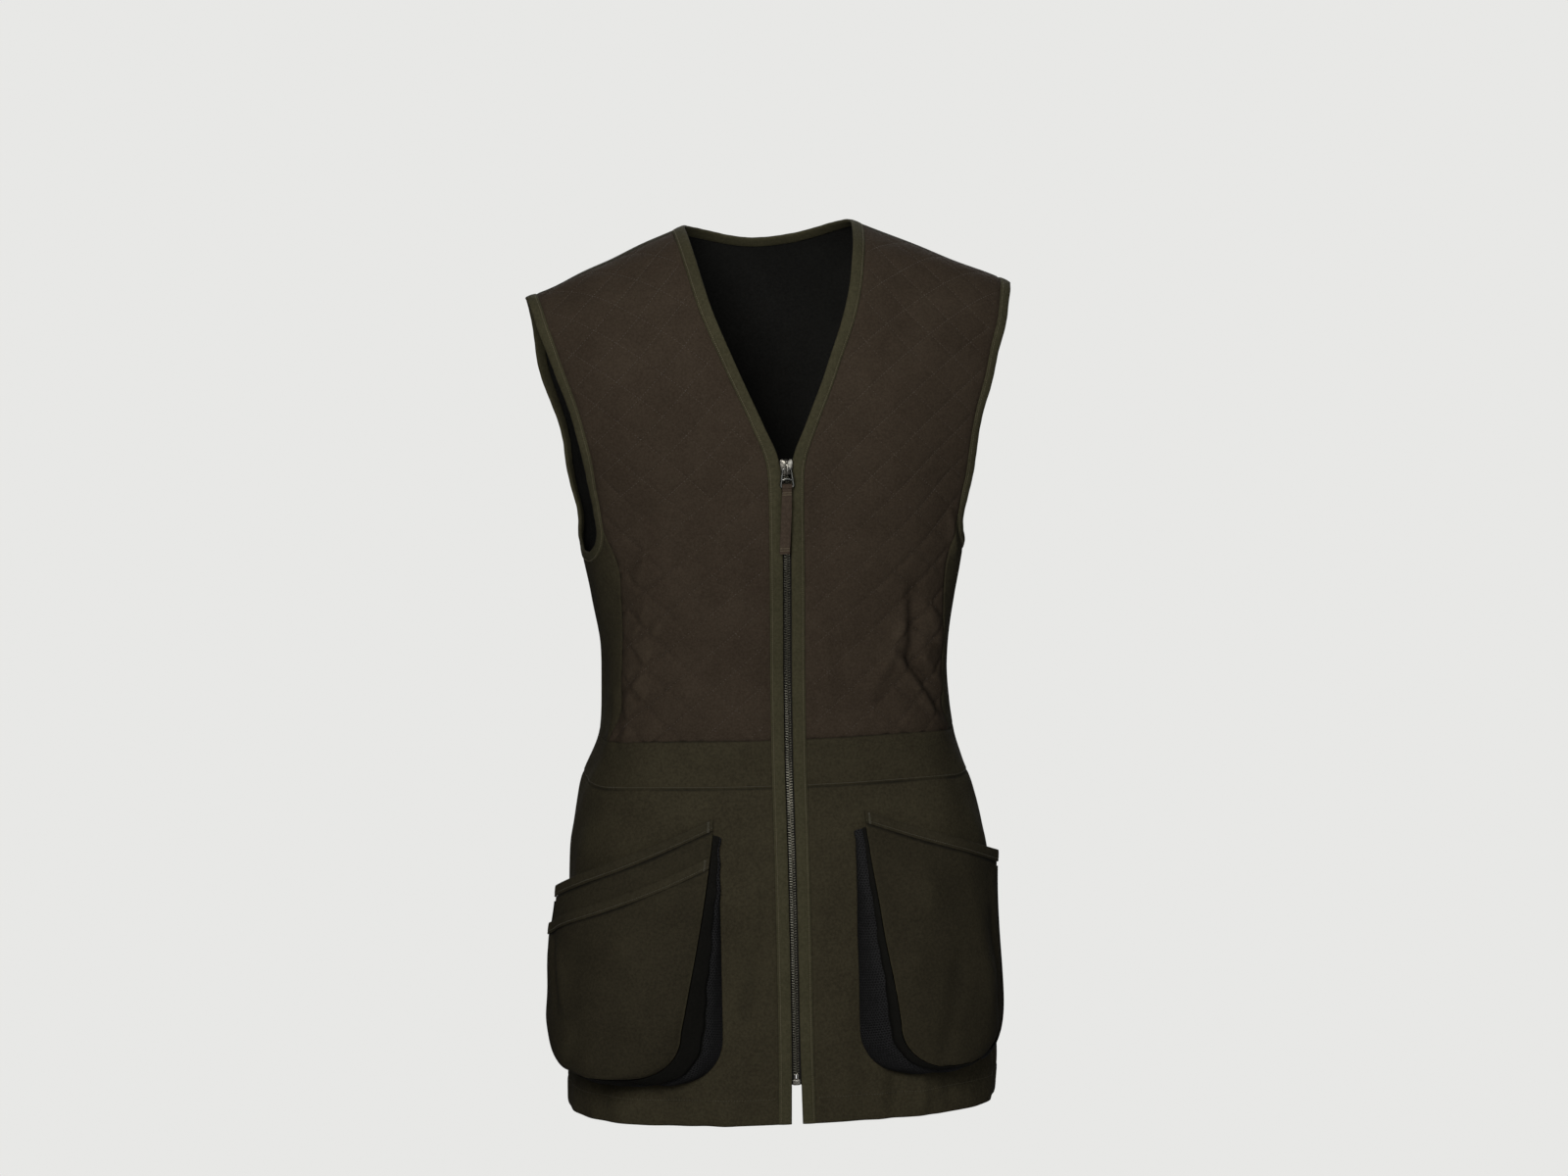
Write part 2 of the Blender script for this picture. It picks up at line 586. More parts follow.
# ---- meshes
class MeshParts:
    """Points, faces, flat coordinates, material numbers and relief marks of one mesh in the making.
    A relief mark says how raised a point is, from -1 in a seam to 1 on a crest."""

    def __init__(self) -> None:
        """Start empty."""
        self.points: list[Array] = []
        self.faces: list[Array] = []
        self.flat: list[Array] = []
        self.slots: list[Array] = []
        self.relief: list[Array] = []
        self.count = 0

    def add(self, points: Array, faces: Sequence[Array], flat: Array,
            slots: Sequence[int] | None = None, relief: Array | float = 0.0) -> None:
        """Join a closed shell to the mesh, with its faces turned outwards.

        Args:
            points: its points, N by 3.
            faces: arrays of faces, each M by 3 or M by 4, as rows of point numbers.
            flat: flat coordinates of the points, N by 2, in metres.
            slots: the material number of each array of faces.
            relief: the relief marks of the points.
        """
        volume = 0.0
        for part in faces:
            for k in range(2, part.shape[1]):
                a, b, c = (points[part[:, i]] for i in (0, k - 1, k))
                volume += float((a * np.cross(b, c)).sum())
        for i, part in enumerate(faces):
            self.faces.append((part[:, ::-1] if volume < 0 else part) + self.count)
            self.slots.append(np.full(len(part), slots[i] if slots else 0))
        self.points.append(points)
        self.flat.append(flat)
        self.relief.append(np.broadcast_to(relief, len(points)))
        self.count += len(points)

    def repeat(self, template: Array, faces: Sequence[Array], centre: Array,
               axes: Sequence[Array]) -> None:
        """Add a copy of a small closed shape at each centre, along the three axes there."""
        points = centre[:, None] + sum(template[None, :, k:k + 1] * axes[k][:, None] for k in range(3))
        offset = (np.arange(len(centre)) * len(template))[:, None, None]
        self.add(points.reshape(-1, 3), [(part[None] + offset).reshape(-1, part.shape[1])
                                         for part in faces],
                 np.tile(template[:, 1::-1], (len(centre), 1)))

    def build(self, name: str, finishes: Sequence[Material], crease: float) -> bpy.types.Object:
        """Make the object, smooth-shaded.

        Args:
            name: its name.
            finishes: its materials, in the order of the material numbers.
            crease: the angle in degrees over which an edge is sharp.

        Returns:
            The object.
        """
        sizes = np.concatenate([np.full(len(part), part.shape[1]) for part in self.faces])
        corners = np.concatenate([part.ravel() for part in self.faces])
        mesh = bpy.data.meshes.new(name)
        mesh.vertices.add(self.count)
        mesh.loops.add(len(corners))
        mesh.polygons.add(len(sizes))
        mesh.vertices.foreach_set("co", np.concatenate(self.points).astype(np.float32).ravel())
        mesh.loops.foreach_set("vertex_index", corners.astype(np.int32))
        mesh.polygons.foreach_set("loop_start", (np.cumsum(sizes) - sizes).astype(np.int32))
        mesh.polygons.foreach_set("material_index", np.concatenate(self.slots).astype(np.int32))
        mesh.update(calc_edges=True)
        flat = np.concatenate(self.flat)[corners].astype(np.float32)
        mesh.uv_layers.new(name="Flat").uv.foreach_set("vector", flat.ravel())
        mark = mesh.attributes.new("relief", "FLOAT", "POINT")
        mark.data.foreach_set("value", np.concatenate(self.relief).astype(np.float32))
        mesh.validate()
        for finish in finishes:
            mesh.materials.append(finish)
        mesh.shade_smooth()
        mesh.set_sharp_from_angle(angle=math.radians(crease))
        made = bpy.data.objects.new(name, mesh)
        bpy.context.scene.collection.objects.link(made)
        return made


def grid_quads(rows: int, columns: int, closed_rows: bool = False,
               closed_columns: bool = False) -> Array:
    """Quads of a grid whose points are numbered row by row; a closed direction joins its last line to
    its first."""
    r = np.arange(rows if closed_rows else rows - 1)[:, None]
    c = np.arange(columns if closed_columns else columns - 1)[None]
    below, right = (r + 1) % rows * columns, (c + 1) % columns
    quads = np.broadcast_arrays(r * columns + c, r * columns + right, below + right, below + c)
    return np.stack(quads, -1).reshape(-1, 4)


def wall_faces(rows: int, columns: int) -> tuple[Array, Array, Array]:
    """Faces of a wall between two grids: the outer face, the inner face and the rim."""
    outer, back = grid_quads(rows, columns), rows * columns
    ring = outline(np.arange(back).reshape(rows, columns, 1))[:, 0]
    nxt = np.roll(ring, -1)
    return outer, outer[:, ::-1] + back, np.stack([nxt, ring, ring + back, nxt + back], -1)


def edge_distance(points: Array) -> Array:
    """Distance of each grid point from the nearest edge of its grid, along its row or its column."""
    runs = [(axis, travel(points, axis)) for axis in (0, 1)]
    return np.minimum(*(np.minimum(run, run.take([-1], axis) - run) for axis, run in runs))


def ring_shell(rings: Array, flat: Array, closed: bool = False, hubs: Array | None = None) -> Shell:
    """Join rings of points to a shell, and close its first and its last one with fans.

    Args:
        rings: the rings, N by M by 3.
        flat: flat coordinates of their points.
        closed: whether the last ring joins the first, instead of the fans.
        hubs: the fans' middles, if not those of the rings.

    Returns:
        The points, the faces and the flat coordinates.
    """
    rows, around = rings.shape[:2]
    points, flat = rings.reshape(-1, 3), np.broadcast_to(flat, (rows, around, 2))
    faces = [grid_quads(rows, around, closed, True)]
    if closed:
        return points, faces, flat.reshape(-1, 2)
    ring = np.arange(around)
    for k, start in enumerate((0, len(points) - around)):
        fan = np.stack([start + ring, start + (ring + 1) % around,
                        np.full(around, len(points) + k)], -1)
        faces.append(fan if k else fan[:, ::-1])
    hubs = rings[[0, -1]].mean(1) if hubs is None else hubs
    return (np.concatenate([points, hubs]), faces,
            np.concatenate([flat.reshape(-1, 2), flat[[0, -1]].mean(1)]))


def strip_shell(first: Array, second: Array, normal: Array, proud: float, thick: float,
                closed: bool, around: int, power: float, groove: tuple[float, float]) -> Shell:
    """A band between two lines, with a rounded rectangle (superellipse) as its section: centre + half
    width * |cos|^(2/power) + half height * |sin|^(2/power), each with the sign of its cosine or
    sine. A groove sinks its outer face.

    Args:
        first, second: the band's two edges on the cloth, N by 3.
        normal: unit vectors out of the cloth, N by 3.
        proud: how far the outer face stands outside the lines.
        thick: the band's thickness.
        closed: whether the last row joins the first.
        around: points round the section.
        power: how square the section is.
        groove: where the groove lies, from -1 at the first edge to 1, and its depth.

    Returns:
        The points, the faces and the flat coordinates.
    """
    turn = np.linspace(0, 2 * math.pi, around, endpoint=False) + math.pi / around
    across, up = (np.sign(f(turn)) * np.abs(f(turn)) ** (2 / power) for f in (np.cos, np.sin))
    half, centre = (second - first) / 2, (first + second) / 2
    rise = up * thick / 2 + proud - thick / 2
    rise = rise - np.where(up > 0, groove[1] * bump(across - groove[0], 0.16), 0)
    rings = centre[:, None] + half[:, None] * across[:, None] + normal[:, None] * rise[:, None]
    width = float(np.linalg.norm(half, axis=-1).mean())
    perimeter = np.cumsum(np.hypot(np.diff(across, prepend=across[-1]) * width,
                                   np.diff(up, prepend=up[-1]) * thick / 2))
    return ring_shell(rings, pair(perimeter, travel(centre)[:, None]), closed)


def tube_shell(path: Array, radii: Array | float, around: int = 12, closed: bool = False,
               flatten: float = 1.0, up: Sequence[float] = (0.0, -1.0, 0.0)) -> Shell:
    """A rod along a path: a circle, flattened along the up direction, is carried along it, and its
    ends are rounded shut.

    Args:
        path: points of the middle line, N by 3.
        radii: the rod's radius, one number or one for each point.
        around: points round the rod.
        closed: whether the path is a loop.
        flatten: the section's height over its width.
        up: the direction that the section's height keeps to.

    Returns:
        The points, the faces and the flat coordinates.
    """
    radii = np.broadcast_to(radii, len(path))
    if closed:
        along = unit(np.roll(path, -1, axis=0) - np.roll(path, 1, axis=0))
    else:
        lead, tail = unit(path[0] - path[1]), unit(path[-1] - path[-2])
        bend = np.array([0.98, 0.75, 0.4])
        out = np.sqrt(1 - bend[:, None] ** 2) * 0.9
        path = np.concatenate([path[0] + lead * radii[0] * out[::-1], path,
                               path[-1] + tail * radii[-1] * out])
        radii = np.concatenate([radii[0] * bend[::-1], radii, radii[-1] * bend])
        along = unit(np.gradient(path, axis=0))
    sideways = unit(np.cross(along, np.asarray(up, float)))
    lift = np.cross(sideways, along)
    turn = np.linspace(0, 2 * math.pi, around, endpoint=False)
    rings = path[:, None] + radii[:, None, None] * (
        sideways[:, None] * np.cos(turn)[:, None]
        + lift[:, None] * (flatten * np.sin(turn))[:, None])
    return ring_shell(rings, pair(turn * radii.mean(), travel(path)[:, None]), closed)


def pillow_shell(outline: Array, front: float, back: float, round_off: float,
                 steps: int = 4) -> Shell:
    """A plate with rounded rims: an outline, set in by round_off * (1 - sin) as it goes a quarter
    round from each face.

    Args:
        outline: (x, z) pairs, star-shaped about their middle.
        front, back: y of the two faces.
        round_off: radius of the rim's rounding.
        steps: rows of each quarter round.

    Returns:
        The points, the faces and the flat coordinates.
    """
    middle = (outline.max(0) + outline.min(0)) / 2
    along = unit(np.roll(outline, -1, axis=0) - np.roll(outline, 1, axis=0))
    inward = np.stack([-along[:, 1], along[:, 0]], -1)
    inward = inward * np.sign(((middle - outline) * inward).sum(-1, keepdims=True))
    turn = np.linspace(0, math.pi / 2, steps)
    turn, face = np.concatenate([turn, turn[::-1]]), np.repeat([front, back], steps)
    sign = np.repeat([1, -1], steps) * np.sign(back - front)
    y = face + sign * round_off * (1 - np.cos(turn))
    flat = outline + inward * (round_off * (1 - np.sin(turn)))[:, None, None]
    return ring_shell(np.insert(flat, 1, y[:, None], axis=2), flat,
                      hubs=[[middle[0], y, middle[1]] for y in (front, back)])


# ---- stitches
class Stitching:
    """Rows of stitches: each is a short thread of five sides that rises in its middle and dips into
    the cloth at both ends."""

    def __init__(self) -> None:
        """Start empty."""
        self.parts = MeshParts()

    def row(self, path: Array, normal: Array, pitch: float, length: float, radius: float,
            sink: float = 0.3) -> None:
        """Lay a row of stitches along a line.

        Args:
            path: the line on the cloth, N by 3.
            normal: unit vectors out of the cloth along it, N by 3.
            pitch: distance from one stitch to the next.
            length: length of a stitch.
            radius: radius of the thread.
            sink: how deep the thread's middle line lies, in radii.
        """
        run = travel(path)
        at = (np.arange(max(int(run[-1] / pitch - 0.5), 0)) + 0.5) * pitch
        if not len(at):
            return
        centre, ahead, behind, out = (
            np.stack([np.interp(at + move, run, line[:, k]) for k in range(3)], -1)
            for line, move in ((path, 0), (path, length / 2), (path, -length / 2), (normal, 0)))
        self.place(centre, unit(ahead - behind), unit(out), length, radius, sink)

    def place(self, centre: Array, along: Array, out: Array, length: float, radius: float,
              sink: float = 0.3) -> None:
        """Put one stitch at each centre: rings at -0.62, 0 and 0.62 of its half length, and a point at
        each end."""
        side, n = unit(np.cross(along, out)), 5
        turn = np.linspace(0, 2 * math.pi, n, endpoint=False)
        turn = np.concatenate([[0.0], turn, turn, turn, [0.0]])
        at, size, drop = (np.repeat(row, [1, n, n, n, 1]) for row in (
            [-1.0, -0.62, 0.0, 0.62, 1.0], [0.0, 0.85, 1.0, 0.85, 0.0],
            [-1.1, -0.25, 0.0, -0.25, -1.1]))
        template = np.column_stack([at * length / 2, size * radius * np.cos(turn),
                                    (size * np.sin(turn) + drop - sink) * radius])
        ring, last = np.arange(1, n + 1), 3 * n + 1
        nxt = np.roll(ring, -1)
        tips = np.concatenate([np.stack([nxt, ring, 0 * ring], -1),
                               np.stack([ring + 2 * n, nxt + 2 * n, 0 * ring + last], -1)])
        self.parts.repeat(template, [grid_quads(3, n, False, True) + 1, tips], centre,
                          (along, side, np.cross(side, along)))


# ---- node helpers
class Graph:
    """A small way to write node trees: each call adds a node and gives back an output."""

    def __init__(self, tree: bpy.types.NodeTree) -> None:
        """Work on an emptied tree."""
        tree.nodes.clear()
        self.tree = tree

    def put(self, socket: Socket, value: object) -> None:
        """Link an input to a socket, or set it to a value."""
        if isinstance(value, Socket):
            self.tree.links.new(value, socket)
        else:
            socket.default_value = value

    def node(self, kind: str, inputs: dict[str | int, object] | None = None,
             **settings: object) -> Sockets:
        """Add a shader node, set its properties and its inputs, and give its outputs."""
        count = len(self.tree.nodes)
        made = self.tree.nodes.new("ShaderNode" + kind)
        made.location = (220 * (count % 12), -260 * (count // 12))
        for key, value in settings.items():
            setattr(made, key, value)
        for key, value in (inputs or {}).items():
            self.put(made.inputs[key], value)
        return made.outputs

    def math(self, operation: str, *values: object) -> Socket:
        """One sum of a Math node."""
        return self.node("Math", dict(enumerate(values)), operation=operation)[0]

    def times(self, a: object, b: object) -> Socket:
        """A product."""
        return self.math("MULTIPLY", a, b)

    def blend(self, a: Socket, share: object, b: Socket, other: object) -> Socket:
        """The sum of two values times their shares."""
        return self.math("MULTIPLY_ADD", a, share, self.times(b, other))

    def noise(self, vector: Socket, scale: object, detail: float = 3.0,
              rough: float = 0.55) -> Socket:
        """The value of a noise pattern."""
        return self.node("TexNoise", {"Vector": vector, "Scale": scale, "Detail": detail,
                                      "Roughness": rough})["Fac"]

    def mix(self, share: object, a: object, b: object) -> Socket:
        """A mix of two colours."""
        return self.node("Mix", {0: share, 6: a, 7: b}, data_type="RGBA")[2]

    def spread(self, value: Socket, low: float, high: float, to_low: float = 0.0,
               to_high: float = 1.0, smooth: bool = True) -> Socket:
        """Map a range of a value to another."""
        return self.node("MapRange", {0: value, 1: low, 2: high, 3: to_low, 4: to_high},
                         interpolation_type="SMOOTHSTEP" if smooth else "LINEAR")[0]

    def wave(self, value: Socket, pitch: object) -> Socket:
        """A sine of the value, from 0 to 1, that repeats at each pitch."""
        angle = self.times(self.math("DIVIDE", value, pitch), 2 * math.pi)
        return self.math("MULTIPLY_ADD", self.math("SINE", angle), 0.5, 0.5)

    def bump(self, strength: float, distance: float, height: Socket) -> Socket:
        """The normal of a bumpy surface."""
        return self.node("Bump", {"Strength": strength, "Distance": distance,
                                  "Height": height})["Normal"]

    def close(self, surface: Socket, kind: str = "OutputMaterial") -> None:
        """Lead a shader to the tree's output."""
        self.node(kind, {"Surface": surface})


def rgba(red: float, green: float, blue: float) -> Colour:
    """A linear colour from screen values of 0 to 255."""
    shares = (channel / 255 for channel in (red, green, blue))
    return (*(c / 12.92 if c <= 0.04045 else ((c + 0.055) / 1.055) ** 2.4 for c in shares), 1.0)


class Effects:
    """The shader groups that more than one finish uses. Each is built once, when it is first used."""

    COLOURS = ("Color", "Dark", "Light", "Worn", "Shaded")

    def __init__(self) -> None:
        """Start with no groups."""
        self.trees: dict[str, bpy.types.NodeTree] = {}

    def use(self, g: Graph, fill: Callable[[Graph, Sockets], dict[str, Socket]],
            **inputs: object) -> Sockets:
        """Place a group in a material.

        Args:
            g: the material's nodes.
            fill: the method that fills the group.
            inputs: what the group's inputs get, by their names with underscores for spaces.

        Returns:
            The group's outputs.
        """
        values = {key.replace("_", " "): value for key, value in inputs.items()}
        name = fill.__name__.capitalize()
        if name not in self.trees:
            tree = bpy.data.node_groups.new(name, "ShaderNodeTree")
            self._sockets(tree, values, "INPUT")
            graph = Graph(tree)
            gives = fill(graph, tree.nodes.new("NodeGroupInput").outputs)
            self._sockets(tree, gives, "OUTPUT")
            end = tree.nodes.new("NodeGroupOutput").inputs
            for socket, value in gives.items():
                graph.put(end[socket], value)
            self.trees[name] = tree
        return g.node("Group", values, node_tree=self.trees[name])

    def _sockets(self, tree: bpy.types.NodeTree, names: Sequence[str], way: str) -> None:
        """Give a group its inputs or its outputs."""
        for name in names:
            kind = "Vector" if name == "Vector" else "Color" if name in self.COLOURS else "Float"
            tree.interface.new_socket(name, in_out=way, socket_type="NodeSocket" + kind)

    def mottle(self, g: Graph, takes: Sockets) -> dict[str, Socket]:
        """Two noises, broad patches and fine specks, mix the dark and the light colour."""
        patches = g.noise(takes["Vector"], takes["Patch Scale"], 4.0, 0.6)
        specks = g.noise(takes["Vector"], takes["Speck Scale"], 5.0, 0.7)
        share = g.spread(g.blend(specks, 0.72, patches, 0.28), 0.25, 0.75)
        return {"Color": g.mix(share, takes["Dark"], takes["Light"]), "Value": share}

    def twill(self, g: Graph, takes: Sockets) -> dict[str, Socket]:
        """Slanted ribs, each broken into threads by a steeper wave and frayed by noise."""
        split = g.node("SeparateXYZ", {0: takes["Vector"]})
        rib = g.wave(g.math("MULTIPLY_ADD", split[1], takes["Slant"], split[0]), takes["Pitch"])
        thread = g.wave(g.math("MULTIPLY_ADD", split[1], -1.6, split[0]),
                        g.times(takes["Pitch"], 0.55))
        fray = g.noise(takes["Vector"], 1400.0, 2.0)
        height = g.math("MULTIPLY_ADD", fray, 0.35, g.blend(rib, 0.7, thread, 0.2))
        return {"Height": height, "Thread": rib}

    def ribs(self, g: Graph, takes: Sockets) -> dict[str, Socket]:
        """Fine ribs one above the other, crossed by a faint wave along them."""
        split = g.node("SeparateXYZ", {0: takes["Vector"]})
        wander = g.noise(takes["Vector"], 260.0, 2.0)
        rib = g.wave(g.math("MULTIPLY_ADD", wander, 0.0009, split[1]), takes["Pitch"])
        cross = g.wave(split[0], takes["Cross Pitch"])
        fray = g.noise(takes["Vector"], 1500.0, 3.0, 0.65)
        height = g.math("MULTIPLY_ADD", fray, 0.6, g.blend(rib, 0.5, cross, 0.2))
        return {"Height": height, "Thread": rib}

    def wear(self, g: Graph, takes: Sockets) -> dict[str, Socket]:
        """Lighter on crests and darker in seams, broken up by noise."""
        patchy = g.noise(takes["Vector"], 170.0, 3.0)
        crest = g.times(g.spread(takes["Relief"], 0.15, 0.9), g.spread(patchy, 0.3, 0.7, 0.35, 1.0))
        crest = g.times(crest, takes["Amount"])
        seam = g.times(g.spread(takes["Relief"], -0.1, -0.9), g.spread(patchy, 0.2, 0.8, 0.7, 1.0))
        worn = g.mix(crest, takes["Color"], takes["Worn"])
        return {"Color": g.mix(seam, worn, takes["Shaded"])}

    def holes(self, g: Graph, takes: Sockets) -> dict[str, Socket]:
        """Round holes in rows, every other row moved by half a pitch."""
        split = g.node("SeparateXYZ", {0: takes["Vector"]})
        row = g.math("DIVIDE", split[1], g.times(takes["Pitch"], 0.87))
        odd = g.times(g.math("FLOORED_MODULO", g.math("FLOOR", row), 2.0), 0.5)
        column = g.math("ADD", g.math("DIVIDE", split[0], takes["Pitch"]), odd)
        x, y = (g.math("SUBTRACT", g.math("FRACT", at), 0.5) for at in (column, row))
        reach = g.math("SQRT", g.blend(x, x, y, y))
        return {"Mask": g.spread(reach, 0.42, 0.3), "Height": g.spread(reach, 0.22, 0.42)}

    def scuffs(self, g: Graph, takes: Sockets) -> dict[str, Socket]:
        """Fine scratches and handled patches on metal."""
        patches = g.noise(takes["Vector"], takes["Scale"], 4.0, 0.6)
        fine = g.noise(takes["Vector"], g.times(takes["Scale"], 7.0), 3.0, 0.7)
        rough = g.spread(g.blend(fine, 0.5, patches, 0.5), 0.3, 0.7, 0.16, 0.44, False)
        return {"Roughness": rough, "Height": fine, "Mask": g.spread(patches, 0.45, 0.7)}


# ---- finishes
class Weave(Enum):
    """The weave that a cloth shows."""

    TWILL = "twill"
    RIBS = "ribs"


@dataclass(frozen=True)
class Finish:
    """A material of a dark and a light colour; each kind dresses its shader in its own way."""

    name: str
    dark: Colour
    light: Colour

    def dress(self, g: Graph, effects: Effects, place: Socket, flat: Socket) -> dict[str, object]:
        """The shader's inputs, from Object and Flat coordinates."""
        raise NotImplementedError

    def build(self, effects: Effects) -> Material:
        """Make the material."""
        made = bpy.data.materials.new(self.name)
        made.use_nodes = True
        g = Graph(made.node_tree)
        place = g.node("TexCoord")["Object"]
        flat = g.node("UVMap", uv_map="Flat")["UV"]
        g.close(g.node("BsdfPrincipled", self.dress(g, effects, place, flat))[0])
        return made


@dataclass(frozen=True)
class ClothFinish(Finish):
    """A woven cloth: two mottled colours, worn on its crests and shaded in its seams."""

    worn: Colour
    shaded: Colour
    weave: Weave = Weave.TWILL
    pitch: float = 0.001
    slant: float = 0.62
    cross_pitch: float = 0.0016
    patch_scale: float = 24.0
    speck_scale: float = 420.0
    relief: float = 0.4
    depth: float = 0.0004
    rough_low: float = 0.8
    gloss: float = 0.08
    thread_share: float = 0.25

    def dress(self, g: Graph, effects: Effects, place: Socket, flat: Socket) -> dict[str, object]:
        """The mottled colour, darker between its threads, then worn by the relief mark."""
        mottle = effects.use(g, effects.mottle, Vector=place, Dark=self.dark, Light=self.light,
                             Patch_Scale=self.patch_scale, Speck_Scale=self.speck_scale)
        if self.weave is Weave.TWILL:
            weave = effects.use(g, effects.twill, Vector=flat, Pitch=self.pitch, Slant=self.slant)
        else:
            weave = effects.use(g, effects.ribs, Vector=flat, Pitch=self.pitch,
                                Cross_Pitch=self.cross_pitch)
        share = self.thread_share
        between = g.math("MULTIPLY_ADD", weave["Thread"], -share, share)
        wear = effects.use(g, effects.wear, Vector=place, Worn=self.worn, Shaded=self.shaded,
                           Relief=g.node("Attribute", attribute_name="relief")["Fac"],
                           Color=g.mix(between, mottle["Color"], self.shaded), Amount=0.5)
        return {"Base Color": wear["Color"], "Specular IOR Level": self.gloss,
                "Roughness": g.spread(mottle["Value"], 0, 1, 0.97, self.rough_low, False),
                "Normal": g.bump(self.relief, self.depth, weave["Height"])}


@dataclass(frozen=True)
class MeshFinish(Finish):
    """A knitted mesh with round dark holes."""

    pitch: float = 0.0026
    hole: Colour = (0.0006, 0.0006, 0.0007, 1.0)

    def dress(self, g: Graph, effects: Effects, place: Socket, flat: Socket) -> dict[str, object]:
        """Fuzzy yarn round the holes."""
        holes = effects.use(g, effects.holes, Vector=flat, Pitch=self.pitch)
        fuzz = g.noise(place, 900.0)
        colour = g.mix(g.spread(fuzz, 0.3, 0.7), self.dark, self.light)
        return {"Base Color": g.mix(holes["Mask"], colour, self.hole), "Specular IOR Level": 0.12,
                "Roughness": g.spread(fuzz, 0, 1, 0.55, 0.9, False),
                "Normal": g.bump(0.7, 0.0006, holes["Height"])}


@dataclass(frozen=True)
class MetalFinish(Finish):
    """A handled metal: scuffed, a little darker where it is dull."""

    scale: float = 260.0

    def dress(self, g: Graph, effects: Effects, place: Socket, flat: Socket) -> dict[str, object]:
        """Scuffed metal."""
        scuffs = effects.use(g, effects.scuffs, Vector=place, Scale=self.scale)
        return {"Base Color": g.mix(scuffs["Mask"], self.light, self.dark), "Metallic": 1.0,
                "Roughness": scuffs["Roughness"],
                "Normal": g.bump(0.25, 0.00006, scuffs["Height"])}


@dataclass(frozen=True)
class ThreadFinish(Finish):
    """Sewing thread: two strands twisted round each other."""

    def dress(self, g: Graph, effects: Effects, place: Socket, flat: Socket) -> dict[str, object]:
        """Twisted strands, a little soiled."""
        split = g.node("SeparateXYZ", {0: flat})
        twist = g.wave(g.math("ADD", split[1], split[0]), 0.0006)
        soiled = g.noise(place, 90.0)
        colour = g.mix(g.blend(twist, 0.5, soiled, 0.5), self.dark, self.light)
        return {"Base Color": colour, "Sheen Weight": 0.1,
                "Roughness": g.spread(soiled, 0, 1, 0.6, 0.85, False),
                "Normal": g.bump(0.4, 0.0001, twist)}


# ---- what every sub-assembly does
@dataclass
class Ply:
    """A grid of places on the body with what the cloth there needs."""

    base: Array
    normal: Array
    u: Array
    v: Array
    lift: Array

    def off(self, out: Array | float) -> Array:
        """Points that lie a distance off the draped surface."""
        return self.base + self.normal * (self.lift + out)[..., None]


